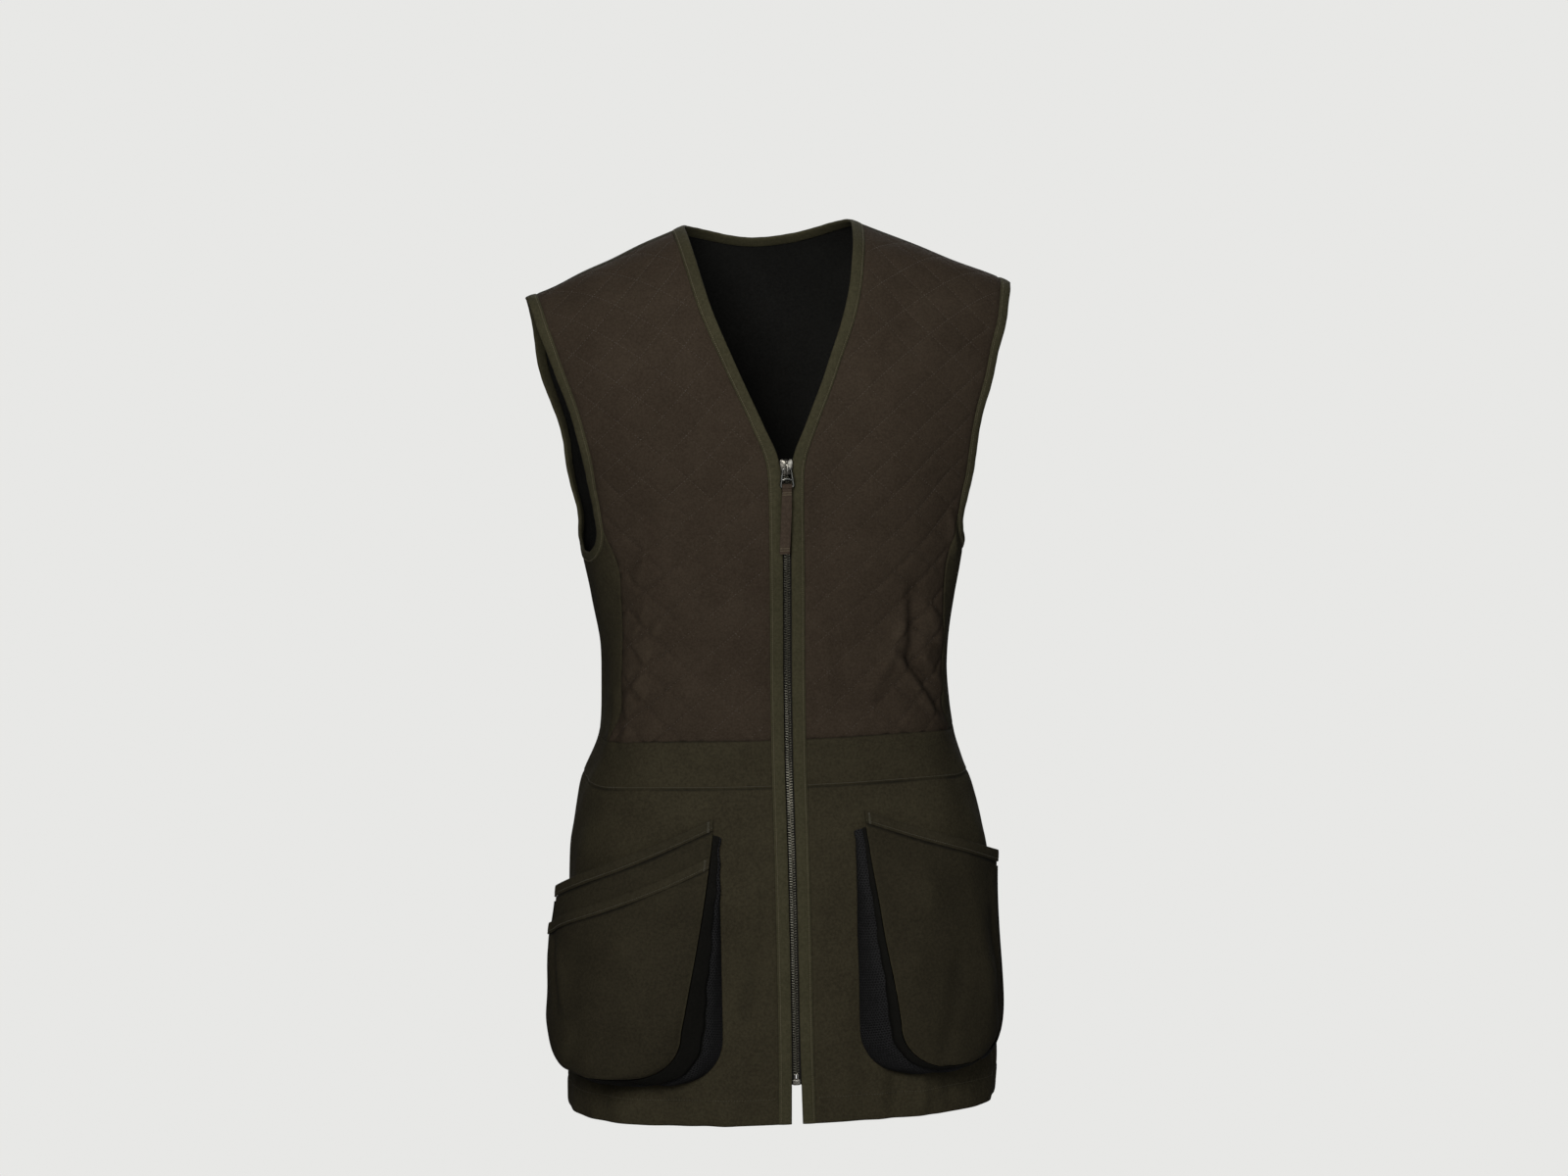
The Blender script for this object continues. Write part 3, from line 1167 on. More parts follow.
@dataclass
class Assembly:
    """A part of the vest: it lays cloth on the body, and enters each piece with its finish, body, node
    and slot."""

    finish: dict[str, Material]

    def ply(self, angle: Array, level: Array, side: Side, on_round: bool = False) -> Ply:
        """Places on the draped surface; their flat way round may go on past the centre back instead
        of turning there."""
        base, past = BODY.surface(angle, level, side.value), angle > math.pi
        u = np.where(past, -1, 1) * FLAT.arc(angle, level) * side.value
        if on_round:
            u = u + np.where(past, 2 * FLAT.arc(0 * level + math.pi, level), 0)
        return Ply(base, BODY.outward(angle, level, side.value), u, FLAT.height(level),
                   DRAPE.lift(base))

    def line(self, angle: Array, level: Array, side: Side, out: Array | float = 0.0) -> Places:
        """Points of a line on the draped surface, and its normals."""
        ply = self.ply(angle, level, side)
        return ply.off(out), ply.normal

    def wall(self, name: str, node: str, ply: Ply, relief: Array, out: Array | float = 0.0,
             thick: float = TWILL_THICKNESS, face: str = "twill", lining: str = "lining",
             slot: str = "green_twill", held: str = "draped", roll: float = 0.0007,
             roll_width: float = 0.002, edge_mark: float = -0.6) -> None:
        """A cloth wall: its outer face lies out metres off the draped surface, sinks towards its edges
        by roll * e^-(distance / roll width)^2, and its inner face lies a thickness behind.

        Args:
            name, node, slot: the piece, the CAD node it stands for, and its record's slot.
            ply: its places.
            relief: their relief marks, which gain the edge mark at the edges.
            out, thick: its stand-off and its thickness.
            face, lining: finishes of its two faces.
            held: how the sheet is held.
            roll, roll_width, edge_mark: the rounding at its edges, and the mark there.
        """
        surface = ply.off(out)
        near = edge_distance(surface)
        outer = surface - ply.normal * (roll * bump(near, roll_width))[..., None]
        inner = surface - ply.normal * thick
        flat = pair(ply.u, ply.v)
        mark = np.clip(relief + edge_mark * bump(near, 0.0012), -1, 1).ravel()
        parts = MeshParts()
        parts.add(np.stack([outer, inner]).reshape(-1, 3), wall_faces(*near.shape),
                  np.tile(flat.reshape(-1, 2), (2, 1)), (0, 1, 0), np.append(mark, 0 * mark))
        made = self.enter(parts, name, (face, lining), node, slot)

    def band(self, name: str, node: str, first: Array, second: Array, normal: Array, proud: float,
             thick: float, finish: str, slot: str, closed: bool = False, around: int = 20,
             power: float = 3.2, groove: tuple[float, float] = (0.62, 0.0), held: str = "folded",
             body: Body = Body.VEST) -> None:
        """A folded band between two lines.

        Args:
            name, node, slot, body: as enter takes them.
            first, second, normal, proud, thick, closed, around, power, groove: as strip_shell takes
                them.
            finish: the name of its finish.
            held: how the sheet is held.
        """
        parts = MeshParts()
        parts.add(*strip_shell(first, second, normal, proud, thick, closed, around, power, groove),
                  relief=0.12)
        made = self.enter(parts, name, (finish,), node, slot, body)
        length = float(travel((first + second) / 2)[-1])

    def sewn(self, sewing: Stitching, name: str, finish: str, body: Body = Body.VEST) -> None:
        """Make one piece of all the stitches."""
        self.enter(sewing.parts, name, (finish,), body=body, crease=80)

    def enter(self, parts: MeshParts, name: str, finishes: Sequence[str], node: str = "",
              slot: str = "", body: Body = Body.VEST, crease: float = 0.0) -> bpy.types.Object:
        """Make a piece that rides on its body.

        Args:
            parts, name: its mesh parts and its name.
            finishes: names of its finishes.
            node, slot: the CAD node it stands for, if any, and its record's slot.
            body: the body it rides on.
            crease: its crease angle in degrees, if not that of a wall or of a band.

        Returns:
            The object.
        """
        made = parts.build(name, [self.finish[word] for word in finishes],
                           crease or (38 if len(finishes) > 1 else 60))
        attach(made, body.value)
        if node:
            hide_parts(node)
        LOG.info("%s: %d faces", name, len(made.data.polygons))
        return made


# ---- quilted fronts
@dataclass
class QuiltedFronts(Assembly):
    """The two fronts of suede-like cloth, quilted in diamonds, with their stitching."""

    slant: float = math.radians(41.0)
    pitch: float = 0.027
    valley: float = 0.00055
    valley_width: float = 0.0024
    thread: float = 0.00022
    phases: dict[Side, tuple[float, float]] = field(
        default_factory=lambda: {Side.RIGHT: (0.3, 0.55), Side.LEFT: (0.2, 0.45)})

    def grid(self) -> Places:
        """Places of a front: shoulder seam, V and zip, waist seam, side seam, armhole."""
        zip_rows = np.linspace(SEAMS.zip_level, WAIST_SEAM.centre - BODY.chest_line, 9 * FINE + 1)
        levels = np.append(SEAMS.neck_levels()[:-1], zip_rows)
        inner = pair(*SEAMS.strip_edge(levels, SEAMS.strip_width(levels)))
        loop = pair(*SEAMS.armhole_loop(SEAMS.binding_width))
        outer = np.concatenate([loop[:SEAMS.front_corner], SEAMS.side_seam(Half.FRONT)])
        outer[0, 1] = SEAMS.ridge
        ends = [BODY.surface(*edge[0])[0] for edge in (inner, outer)]
        top = pair(BODY.angle_at(np.linspace(*ends, 10 * FINE + 1), SEAMS.ridge), SEAMS.ridge)
        waist = SEAMS.waist_angles()[0]
        waist[0] = inner[-1, 0]
        bottom = WAIST_SEAM.line(waist)
        inner[-1] = bottom[0]
        return SEAMS.across_patch(top, bottom, inner, outer)

    def lines(self, side: Side) -> list[tuple[Array, float]]:
        """The two directions across the quilting lines, and the phases of the lines."""
        return [(np.array([sign * math.sin(self.slant), math.cos(self.slant)]), phase)
                for sign, phase in zip((1, -1), self.phases[side])]

    def relief(self, ply: Ply, side: Side) -> Array:
        """How deep the quilting lines sink the cloth, from 0 to 1: a bell on the distance to the
        nearest line of either slant."""
        deep = 0.0
        for across, phase in self.lines(side):
            off = ((pair(ply.u, ply.v) @ across) / self.pitch - phase + 0.5) % 1.0 - 0.5
            deep = np.maximum(deep, bump(off * self.pitch, self.valley_width))
        return deep

    def puff(self, points: Array, deep: Array | float) -> Places:
        """How far the quilting lifts the cloth, more low down and towards the sides, and how much more
        it stands out there."""
        strong = smoothstep(-0.16, -0.34, points[..., 2]) * smoothstep(
            0.045, 0.12, np.abs(points[..., 0]))
        return self.valley * (1 + 1.4 * strong) * (0.35 - deep), strong

    def build(self) -> None:
        """Make the fronts and the quilting stitches."""
        for side in Side:
            ply = self.ply(*self.grid(), side)
            deep = self.relief(ply, side)
            lift, strong = self.puff(ply.base, deep)
            calm = 0.25 + 0.75 * smoothstep(0.0, 0.01, edge_distance(ply.base))
            relief = np.clip(DRAPE.creases(ply.base) / 0.0035, -0.5, 0.9) * 0.28 + 0.05
            relief = relief + 0.12 * strong * (1 - deep) - (0.16 + 0.3 * strong) * deep
            self.wall(f"quilt_{side.word}", f"front_quilt_{side.word}", ply, relief, lift * calm,
                      QUILT_THICKNESS, "suede", slot="quilted_cloth", roll=0.0009, roll_width=0.0026)
            self.stitch(side, outline(pair(ply.u, ply.v)))

    def stitch(self, side: Side, ring: Array) -> None:
        """Sew along the quilting lines, as far as they lie inside the front's outline."""
        sewing = Stitching()
        for across, phase in self.lines(side):
            heading = np.array([across[1], -across[0]])
            spans, reach = ring @ across / self.pitch, ring @ heading
            t = np.arange(reach.min(), reach.max(), 0.0016)
            for k in range(math.ceil(spans.min() - phase), math.floor(spans.max() - phase) + 1):
                places = across * (k + phase) * self.pitch + heading * t[:, None]
                inside = self.inside(places, ring)
                if inside.sum() < 6:
                    continue
                u, v = places[inside].T
                angle, level = FLAT.place(np.abs(u), v)
                out, _ = self.puff(BODY.surface(angle, level), 1.0)
                sewing.row(*self.line(angle, level, side, out), 0.003, 0.0023, self.thread, 0.15)
        self.sewn(sewing, f"quilting_{side.word}", "quilt_thread")

    @staticmethod
    def inside(places: Array, ring: Array, margin: float = 0.0024) -> Array:
        """Whether places lie inside an outline and off its edge: an odd number of its sides crosses
        the level line to their right, and no corner of it is nearer than a margin."""
        (x, y), (ax, ay), (bx, by) = places.T[..., None], ring.T, np.roll(ring, -1, axis=0).T
        rise = np.where(by == ay, 1e-12, by - ay)
        cross = ax + (y - ay) * ((bx - ax) / rise)
        odd = (((ay > y) != (by > y)) & (x < cross)).sum(1) % 2 == 1
        return odd & (np.hypot(x - ax, y - ay).min(1) > margin)


# ---- twill panels
@dataclass
class TwillPanels(Assembly):
    """The side panels, the back, the waistband and the skirt."""

    hem_depth: float = 0.0235
    topstitch_in: float = 0.0022
    thread: float = 0.00024
    sewing: Stitching = field(default_factory=Stitching)

    def build(self) -> None:
        """Make the panels and their stitching."""
        for side in Side:
            self.side_panel(side)
        self.back()
        front, sides, back = SEAMS.waist_angles()
        middle = 4 * FINE
        half = np.append(sides[middle:], back[1:])
        for side in Side:
            self.lower(f"_front_{side.word}", side, np.append(front, sides[1:middle + 1]))
        self.lower("_back", Side.LEFT, np.append(half, 2 * math.pi - half[-2::-1]))
        self.sewn(self.sewing, "twill_stitching", "olive_thread")

    @staticmethod
    def folded(ply: Ply) -> Array:
        """The relief mark of a plain panel: its folds' crests and troughs."""
        return np.clip(ply.lift / 0.012, -0.3, 0.4)

    def side_panel(self, side: Side) -> None:
        """The panel below the armhole, between the side seams."""
        loop = pair(*SEAMS.armhole_loop(SEAMS.binding_width))
        grid = patch(loop[SEAMS.front_corner:SEAMS.back_corner + 1],
                     WAIST_SEAM.line(SEAMS.waist_angles()[1]),
                     *(SEAMS.side_seam(half) for half in Half))
        ply = self.ply(grid[..., 0], grid[..., 1], side)
        self.wall(f"side_{side.word}", f"side_panel_{side.word}", ply, self.folded(ply))

    def back(self) -> None:
        """The back in one piece, with the neck cut out of its top."""
        loop = pair(*SEAMS.armhole_loop(SEAMS.binding_width))
        loop[0] = math.pi - loop[0, 0], SEAMS.ridge
        up = [0, *range(len(loop) - 1, SEAMS.back_corner, -1)]
        outer = np.concatenate([loop[up], SEAMS.side_seam(Half.BACK)])
        neck = pair(*SEAMS.back_neck_line(SEAMS.neck_width, SEAMS.back_neck_strip))
        ends = [BODY.surface(angle, SEAMS.ridge)[0] for angle in (neck[-1, 0], outer[0, 0])]
        across = np.linspace(*ends, 4 * FINE + 1)[1:]
        shoulder = pair(BODY.angle_at(across, SEAMS.ridge, True), SEAMS.ridge)
        top = np.concatenate([neck, shoulder])
        bottom = WAIST_SEAM.line(SEAMS.waist_angles()[2][::-1])
        spread = outer[0, 1] - outer[:, 1]
        spread = (spread / spread[-1] + np.linspace(0, 1, len(outer))) / 2
        inner = pair(math.pi, top[0, 1] + (bottom[0, 1] - top[0, 1]) * spread)
        angle, level = SEAMS.across_patch(top, bottom, inner, outer, back=True)
        angle = np.concatenate([2 * math.pi - angle[:, :0:-1], angle], axis=1)
        ply = self.ply(angle, np.concatenate([level[:, :0:-1], level], axis=1), Side.LEFT, True)
        self.wall("back_panel", "back_upper", ply, self.folded(ply))

    def ring(self, angles: Array, upper: SeamLine, lower: SeamLine, rows: int) -> Places:
        """Places of a panel between two level seams; the first columns of a front one close up to the
        zip facing.

        Args:
            angles: angles of its columns.
            upper, lower: its two seams.
            rows: its number of rows.

        Returns:
            The grid's angles and levels.
        """
        grid = np.tile(angles, (rows, 1))
        share = np.linspace(0, 1, rows)[:, None]
        if angles[0] < 1.0:
            centre = np.linspace(upper.centre, lower.centre, rows) - BODY.chest_line
            near = 3 * FINE
            across = BODY.surface(grid[:, :near], centre[:, None])[..., 0]
            edge = SEAMS.opening_edge(centre) + SEAMS.facing_width
            fade = np.clip(1 - np.arange(near) / near, 0, 1) ** 2
            across = across + (edge - across[:, 0])[:, None] * fade
            grid[:, :near] = BODY.angle_at(across, centre[:, None])
        return grid, upper.level(grid) * (1 - share) + lower.level(grid) * share

    def lower(self, word: str, side: Side, columns: Array) -> None:
        """A length of the waistband, and one of the skirt with its turned hem."""
        ply = self.ply(*self.ring(columns, WAIST_SEAM, BAND_SEAM, 2 * FINE + 1), side, True)
        self.wall("band" + word, "waistband" + word, ply, self.folded(ply), roll_width=0.0016)
        self.sew_row(columns, BAND_SEAM, self.topstitch_in, side, 0.0021)
        angle, level = self.ring(columns, BAND_SEAM, HEM, 12 * FINE + 1)
        ply, above = self.ply(angle, level, side, True), level - HEM.level(angle)
        turned = smoothstep(self.hem_depth + 0.0012, self.hem_depth - 0.0012, above)
        groove = bump(above - self.hem_depth - 0.0002, 0.0012)
        self.wall("skirt_cloth" + word, "skirt" + word, ply,
                  self.folded(ply) - 0.45 * groove + 0.1 * turned,
                  0.00045 * turned - 0.0003 * groove, lining="twill_inside", held="hung")
        self.sew_row(columns, HEM, self.hem_depth, side, 0.0024, 0.00012)

    def sew_row(self, columns: Array, seam: SeamLine, above: float, side: Side, pitch: float,
                out: float = 0.0) -> None:
        """A row of stitches that keeps a distance above a level seam.

        Args:
            columns: angles from its start to its end.
            seam, above: the seam, and the distance from it.
            side: the side of the vest.
            pitch: distance from one stitch to the next.
            out: how far the cloth stands off there.
        """
        first = columns[0]
        if first < 1.0:
            first = float(BODY.angle_at(SEAMS.facing_width + 0.0052, -0.27))
        angles = np.linspace(first, columns[-1], 900)
        path, normal = self.line(angles, seam.level(angles) + above, side, out)
        self.sewing.row(path, normal, pitch, pitch * 0.74, self.thread)


# ---- bindings
@dataclass
class Bindings(Assembly):
    """The ribbed bindings of the neck and the armholes, and the zip facings, each with a row of
    stitches beside its seam."""

    stitch_place: float = 0.62
    groove: float = 0.00035
    thread: float = 0.00024
    pitch: float = 0.0019
    sewing: Stitching = field(default_factory=Stitching)

    def build(self) -> None:
        """Make the bindings, the facings and their stitches."""
        facing = np.linspace(SEAMS.zip_level, HEM.centre - BODY.chest_line, 301)
        for side in Side:
            for name, node, levels in (("neck_edge", "neck_binding", SEAMS.neck_levels()),
                                       ("facing", "zip_facing", facing)):
                seam = SEAMS.strip_edge(levels, SEAMS.strip_width(levels) + OVERLAP)
                self.binding(f"{name}_{side.word}", f"{node}_{side.word}",
                             SEAMS.strip_edge(levels, 0.0), seam, side)
            edges = (SEAMS.armhole_loop(wide) for wide in (0.0, SEAMS.binding_width + OVERLAP))
            self.binding(f"armhole_edge_{side.word}", f"armhole_binding_{side.word}", *edges, side,
                         closed=True)
        halves = (SEAMS.back_neck_line(0.0, 0.0), SEAMS.back_neck_line(
            SEAMS.neck_width + OVERLAP, SEAMS.back_neck_strip + OVERLAP))
        both = ((np.append(2 * math.pi - a[:0:-1], a), np.append(b[:0:-1], b)) for a, b in halves)
        self.binding("neck_edge_back", "neck_binding_back", *both, Side.LEFT)
        self.sewn(self.sewing, "binding_stitching", "thread")

    def binding(self, name: str, node: str, edge: Places, seam: Places, side: Side,
                closed: bool = False) -> None:
        """One band from its free edge to its seam, with its stitches.

        Args:
            name, node: the piece and the CAD node it stands for.
            edge, seam: places along its free edge and along its seam.
            side: the side of the vest.
            closed: whether it is a loop.
        """
        (first, up), (second, down) = (self.line(*line, side) for line in (edge, seam))
        normal = unit(up + down)
        run = travel(second) * 2 * math.pi
        ripple = 0.00016 * np.sin(run / 0.019 + 1.0) * np.sin(run / 0.071)
        first = first + normal * ripple[:, None]
        self.band(name, node, first, second, normal, BINDING_PROUD, BINDING_THICKNESS, "binding",
                  "green_binding", closed, 28, groove=(self.stitch_place, self.groove))
        path = first + (second - first) * (1 + self.stitch_place) / 2
        path = path + normal * (BINDING_PROUD - self.groove * 0.8)
        if closed:
            path, normal = (np.concatenate([line, line[:1]]) for line in (path, normal))
        self.sewing.row(path, normal, self.pitch, self.pitch * 0.72, self.thread)


# ---- the zip
def smooth_curve(corners: Table, count: int, closed: bool = False) -> Array:
    """A curve through corners: on each stretch the cubic whose end slopes are half the difference of
    the neighbours. An open one doubles its first and last corner."""
    p = np.array(corners if closed else [corners[0], *corners, corners[-1]], float)
    last = len(p) if closed else len(p) - 3 - 1e-9
    t = np.linspace(0, last, count, endpoint=not closed)
    i = t.astype(int)
    f = (t - i)[:, None]
    a, b, c, d = (p[(i + k - closed) % len(p)] for k in range(4))
    return b + 0.5 * f * (c - a + f * (2 * a - 5 * b + 4 * c - d + f * (3 * (b - c) + d - a)))


def mirrored_loop(half: Table, count: int) -> Array:
    """A smooth loop from the corners of its right half, in millimetres, which start and end on the
    middle line."""
    return smooth_curve([*half, *((-x, z) for x, z in half[-2:0:-1])], count, True) / 1000


@dataclass
class FrontZip(Assembly):
    """The front zip: woven tapes, metal teeth, the slider with its bridge, the pull frame with the
    cloth puller, and the box and pins at the bottom."""

    front: float = -0.124622
    chain_top: float = -0.2042
    chain_bottom: float = -0.748
    tooth_pitch: float = 0.0023
    tape_width: float = 0.0105
    tape_thickness: float = 0.0008
    slider_top: float = -0.1885
    hinge_out: float = 0.0068
    hinge_z: float = -0.1965
    bar_drop: float = 0.0157
    puller_width: float = 0.0093
    puller_length: float = 0.061
    puller_lean: float = -0.003
    tape_out: float = BINDING_PROUD - BINDING_THICKNESS - SEAM_GAP

    def build(self) -> None:
        """Make every part of the zip."""
        self.tapes()
        self.teeth()
        self.slider()
        self.pull_frame()
        self.puller()
        self.box()

    def tapes(self) -> None:
        """The two tapes, behind the facings."""
        levels = np.linspace(float(BODY.level_at(self.slider_top)),
                             self.chain_bottom - 0.009 - BODY.chest_line, 241)
        angle, level = SEAMS.strip_edge(levels, -0.0007)
        apart = smoothstep(-0.2, -0.19, BODY.surface(0 * level, level)[:, 2])
        angle = angle * apart + BODY.angle_at(0.0003, level) * (1 - apart)
        for side in Side:
            first, up = self.line(angle, level, side)
            second, down = self.line(*SEAMS.strip_edge(levels, self.tape_width), side)
            self.band(f"tape_{side.word}", f"zip_tape_{side.word}", first, second, unit(up + down),
                      self.tape_out, self.tape_thickness, "tape", "zip_tape", around=16, held="hung")

    def centre_line(self, height: Array) -> Places:
        """Points of the chain's middle line and its outward directions."""
        level = BODY.level_at(height)
        out = unit(BODY.outward(0 * level + 0.02, level) * [0, 1, 1])
        return BODY.surface(0 * level, level) + out * (self.tape_out - self.tape_thickness / 2), out

    def teeth(self) -> None:
        """Teeth in two rows that lock between each other. Each is four six-sided rings, smaller at
        both ends, and leans down towards the middle."""
        angles = np.radians([90, 148, 212, 270, 328, 32])
        ring = np.column_stack([np.cos(angles) * 0.00135, np.sin(angles) * 0.00072])
        template = np.concatenate([np.insert(ring * size, 0, along, axis=1) for along, size in (
            (0.0029, 0.72), (0.0025, 1.0), (0.0002, 1.0), (-0.0007, 0.62))])
        template[:, 2] += 0.16 * (template[:, 0] - 0.0012)
        fan = np.column_stack([np.full(4, 0), np.arange(2, 6), np.arange(1, 5)])
        faces = [grid_quads(4, 6, False, True), np.concatenate([fan, fan[:, ::-1] + 18])]
        parts = MeshParts()
        for side in Side:
            start = self.chain_top - (self.tooth_pitch / 2 if side is Side.LEFT else 0)
            centre, out = self.centre_line(np.arange(start, self.chain_bottom, -self.tooth_pitch))
            up = np.cross([1.0, 0, 0], -out)
            inwards = np.tile([side.value, 0.0, 0.0], (len(centre), 1))
            parts.repeat(template, faces, centre, (inwards, out, up * np.sign(up[:, 2:])))
        self.enter(parts, "zip_teeth", ("teeth",), "zip_chain", "gunmetal", crease=30)

    def slider(self) -> None:
        """The slider: a crowned plate with two lobes at its top, a core between the facings and the
        bridge over the hinge."""
        parts, y = MeshParts(), self.front
        rim = mirrored_loop([(0, -190.8), (1.8, -189.3), (4, -188.5), (5.6, -189.3), (6, -191.8),
                             (5.6, -195.5), (5, -198.8), (4.6, -201.4), (2.6, -202.4), (0, -202.5)], 72)
        points, faces, flat = pillow_shell(rim, y - 0.0034, y - 0.0012, 0.0008, 5)
        x, z = points[:, ::2].T - (rim.max(0) + rim.min(0))[:, None] / 2
        crown = 0.0012 * (1 - np.clip(np.hypot(x, z * 0.8) / 0.0062, 0, 1) ** 2)
        points[:, 1] -= np.where(points[:, 1] < y - 0.0024, crown, 0)
        parts.add(points, faces, flat)
        core = smooth_curve([(-2.2, -190), (2.2, -190), (2.4, -196), (2, -202), (-2, -202),
                             (-2.4, -196)], 36, True) / 1000
        parts.add(*pillow_shell(core, y - 0.0013, y + 0.0042, 0.0005, 3))
        bridge = smooth_curve([(0, -3, -189.6), (0, -6, -189.9), (0, -8.5, -191.6), (0, -9.2, -195),
                               (0, -9.1, -198.5), (0, -7.4, -201), (0, -4.6, -201.8),
                               (0, -3, -201.9)], 40) / 1000 + [0, y, 0]
        points, faces, flat = tube_shell(bridge, 0.00125, 16, flatten=0.62, up=(1.0, 0.0, 0.0))
        parts.add(points * [1.45, 1, 1], faces, flat)
        self.enter(parts, "slider", ("nickel",), "zip_slider", "nickel", crease=50)

    def pull_frame(self) -> None:
        """The pull: a rod through the bridge, two legs that flare down to a bottom bar, and an arched
        bar across them above the puller's slot."""
        hinge = np.array([0, self.front - self.hinge_out, self.hinge_z])
        loop = mirrored_loop([(0, 0), (3, 0), (3.8, -0.8), (4.1, -3.4), (4.8, -8.5), (5.3, -13),
                              (5.4, -14.7), (4.8, -15.6), (3, -15.7), (0, -15.7)], 120)
        radius = 0.00082 + 0.0004 * smoothstep(-0.001, -0.01, loop[:, 1])
        parts = MeshParts()
        parts.add(*tube_shell(np.insert(loop, 1, 0, axis=1) + hinge, radius, 14, True, 0.8))
        arch = smooth_curve([(-5, 0, -10.2), (-2.6, 0, -9.2), (0, 0, -8.8), (2.6, 0, -9.2),
                             (5, 0, -10.2)], 30) / 1000
        parts.add(*tube_shell(arch + hinge, 0.0009, 12, flatten=0.8))
        self.enter(parts, "pull_frame", ("gunmetal",), "zip_pull_tab", "gunmetal", Body.PULL)

    def puller(self) -> None:
        """The cloth puller: a strip folded round the bottom bar, both layers hanging, sewn across near
        its top and its bottom. Its middle line runs up the front layer, round the bar and down the
        back layer."""
        y, bar, length = self.front - self.hinge_out, self.hinge_z - self.bar_drop, self.puller_length
        thick, rows = 0.0011, 60
        eye, layer = 0.0012 + SEAM_GAP + thick / 2, thick / 2 + 0.0001
        turn = np.radians(np.linspace(-60, 240, 25))
        steps = np.linspace(bar - length, bar - 0.0052, rows)
        path = np.concatenate([pair(y - layer, steps),
                               pair(y - eye * np.cos(turn), bar + eye * np.sin(turn)),
                               pair(y + layer, steps[::-1])])
        down = np.clip((bar - path[:, 1]) / length, 0, 1)
        path[:, 0] -= 0.0008 * np.sin(down * math.pi * 1.4) * down
        along = unit(np.gradient(path, axis=0))
        normal = np.column_stack([0 * down, -along[:, 1], along[:, 0]])
        width = self.puller_width / 2 * (1 - 0.1 * bump(down - 0.08, 0.06))
        swing = self.puller_lean * down**1.3
        first, second = (np.column_stack([swing + sign * width, path]) for sign in (-1, 1))
        self.band("puller", "zip_puller", first, second, normal, thick / 2, thick, "puller_cloth",
                  "puller_cloth", power=3.4, body=Body.PULL)
        sewing, out = Stitching(), np.tile([0.0, -1.0, 0.0], (9, 1))
        for depth in (0.0052, 0.0072, length - 0.0052, length - 0.0032):
            at = float(np.interp(bar - depth, path[:rows, 1], path[:rows, 0])) - thick / 2
            lean = self.puller_lean * (depth / length) ** 1.3
            centre = np.linspace([lean - 0.0036, at, bar - depth], [lean + 0.0036, at, bar - depth], 9)
            for slant in (-1, 1):
                heading = unit(np.tile([0.0007, 0.0, slant * 0.0009], (9, 1)))
                sewing.place(centre, heading, out, 0.0016, 0.0002)
        self.sewn(sewing, "puller_stitching", "thread", Body.PULL)

    def box(self) -> None:
        """The box at the bottom of the chain, and two pins above it."""
        middle = self.chain_bottom - 0.0066
        y = float(self.centre_line(np.array([middle]))[0][0, 1])
        rim = mirrored_loop([(0, 2.7), (3, 2.6), (3.5, 2), (3.4, 0), (3.2, -2.1), (2.6, -2.6),
                             (0, -2.7)], 60) + [0, middle]
        parts = MeshParts()
        parts.add(*pillow_shell(rim, y - 0.0024, y + 0.0016, 0.0006, 5))
        for x in (-0.0014, 0.0014):
            pin = [(x, y - 0.0004, self.chain_bottom + rise) for rise in (0.0002, -0.002, -0.005)]
            parts.add(*tube_shell(np.array(pin), 0.00085))
        self.enter(parts, "zip_stop", ("nickel",), "zip_box", "nickel", crease=50)


# ---- the pockets
@dataclass(frozen=True)
class PocketCut:
    """Sizes of one pocket. The ways round from the centre front are those of its front at the inner
    top, the inner bottom and the outer side, and of its seam at the inner and the outer side."""

    side: Side
    front_arcs: tuple[float, float, float]
    seam_arcs: tuple[float, float]
    top: float
    rim_drop: float
    bottom: float
    seam_bottom: float
    bulge: float
    outer_bulge: float
    mouth: float
    cloth_share: float
    creases: tuple[Fold, ...]


POCKETS = (
    PocketCut(Side.RIGHT, (0.069, 0.107, 0.236), (0.066, 0.246), -0.514, 0.078, -0.744, -0.753, 0.046,
              0.024, 0.016, 0.5, (
                  Fold((-222, -632, -199, -690, 7, -3.6)), Fold((-210, -640, -188, -690, 8, 2.8)),
                  Fold((-178, -706, -192, -745, 5, 2.6), FoldKind.CREASE),
                  Fold((-154, -690, -168, -740, 6, 2.2), FoldKind.CREASE),
                  Fold((-128, -640, -118, -735, 13, 2)), Fold((-100, -560, -150, -640, 15, 1.8)))),
    PocketCut(Side.LEFT, (0.066, 0.094, 0.213), (0.058, 0.224), -0.512, 0.058, -0.743, -0.75, 0.04,
              0.01, 0.01, 0.26, (
                  Fold((120, -560, 96, -660, 14, 2.6)), Fold((140, -640, 118, -740, 9, -2.6)),
                  Fold((160, -580, 168, -720, 12, 2.8)), Fold((190, -600, 192, -730, 8, -3)))))


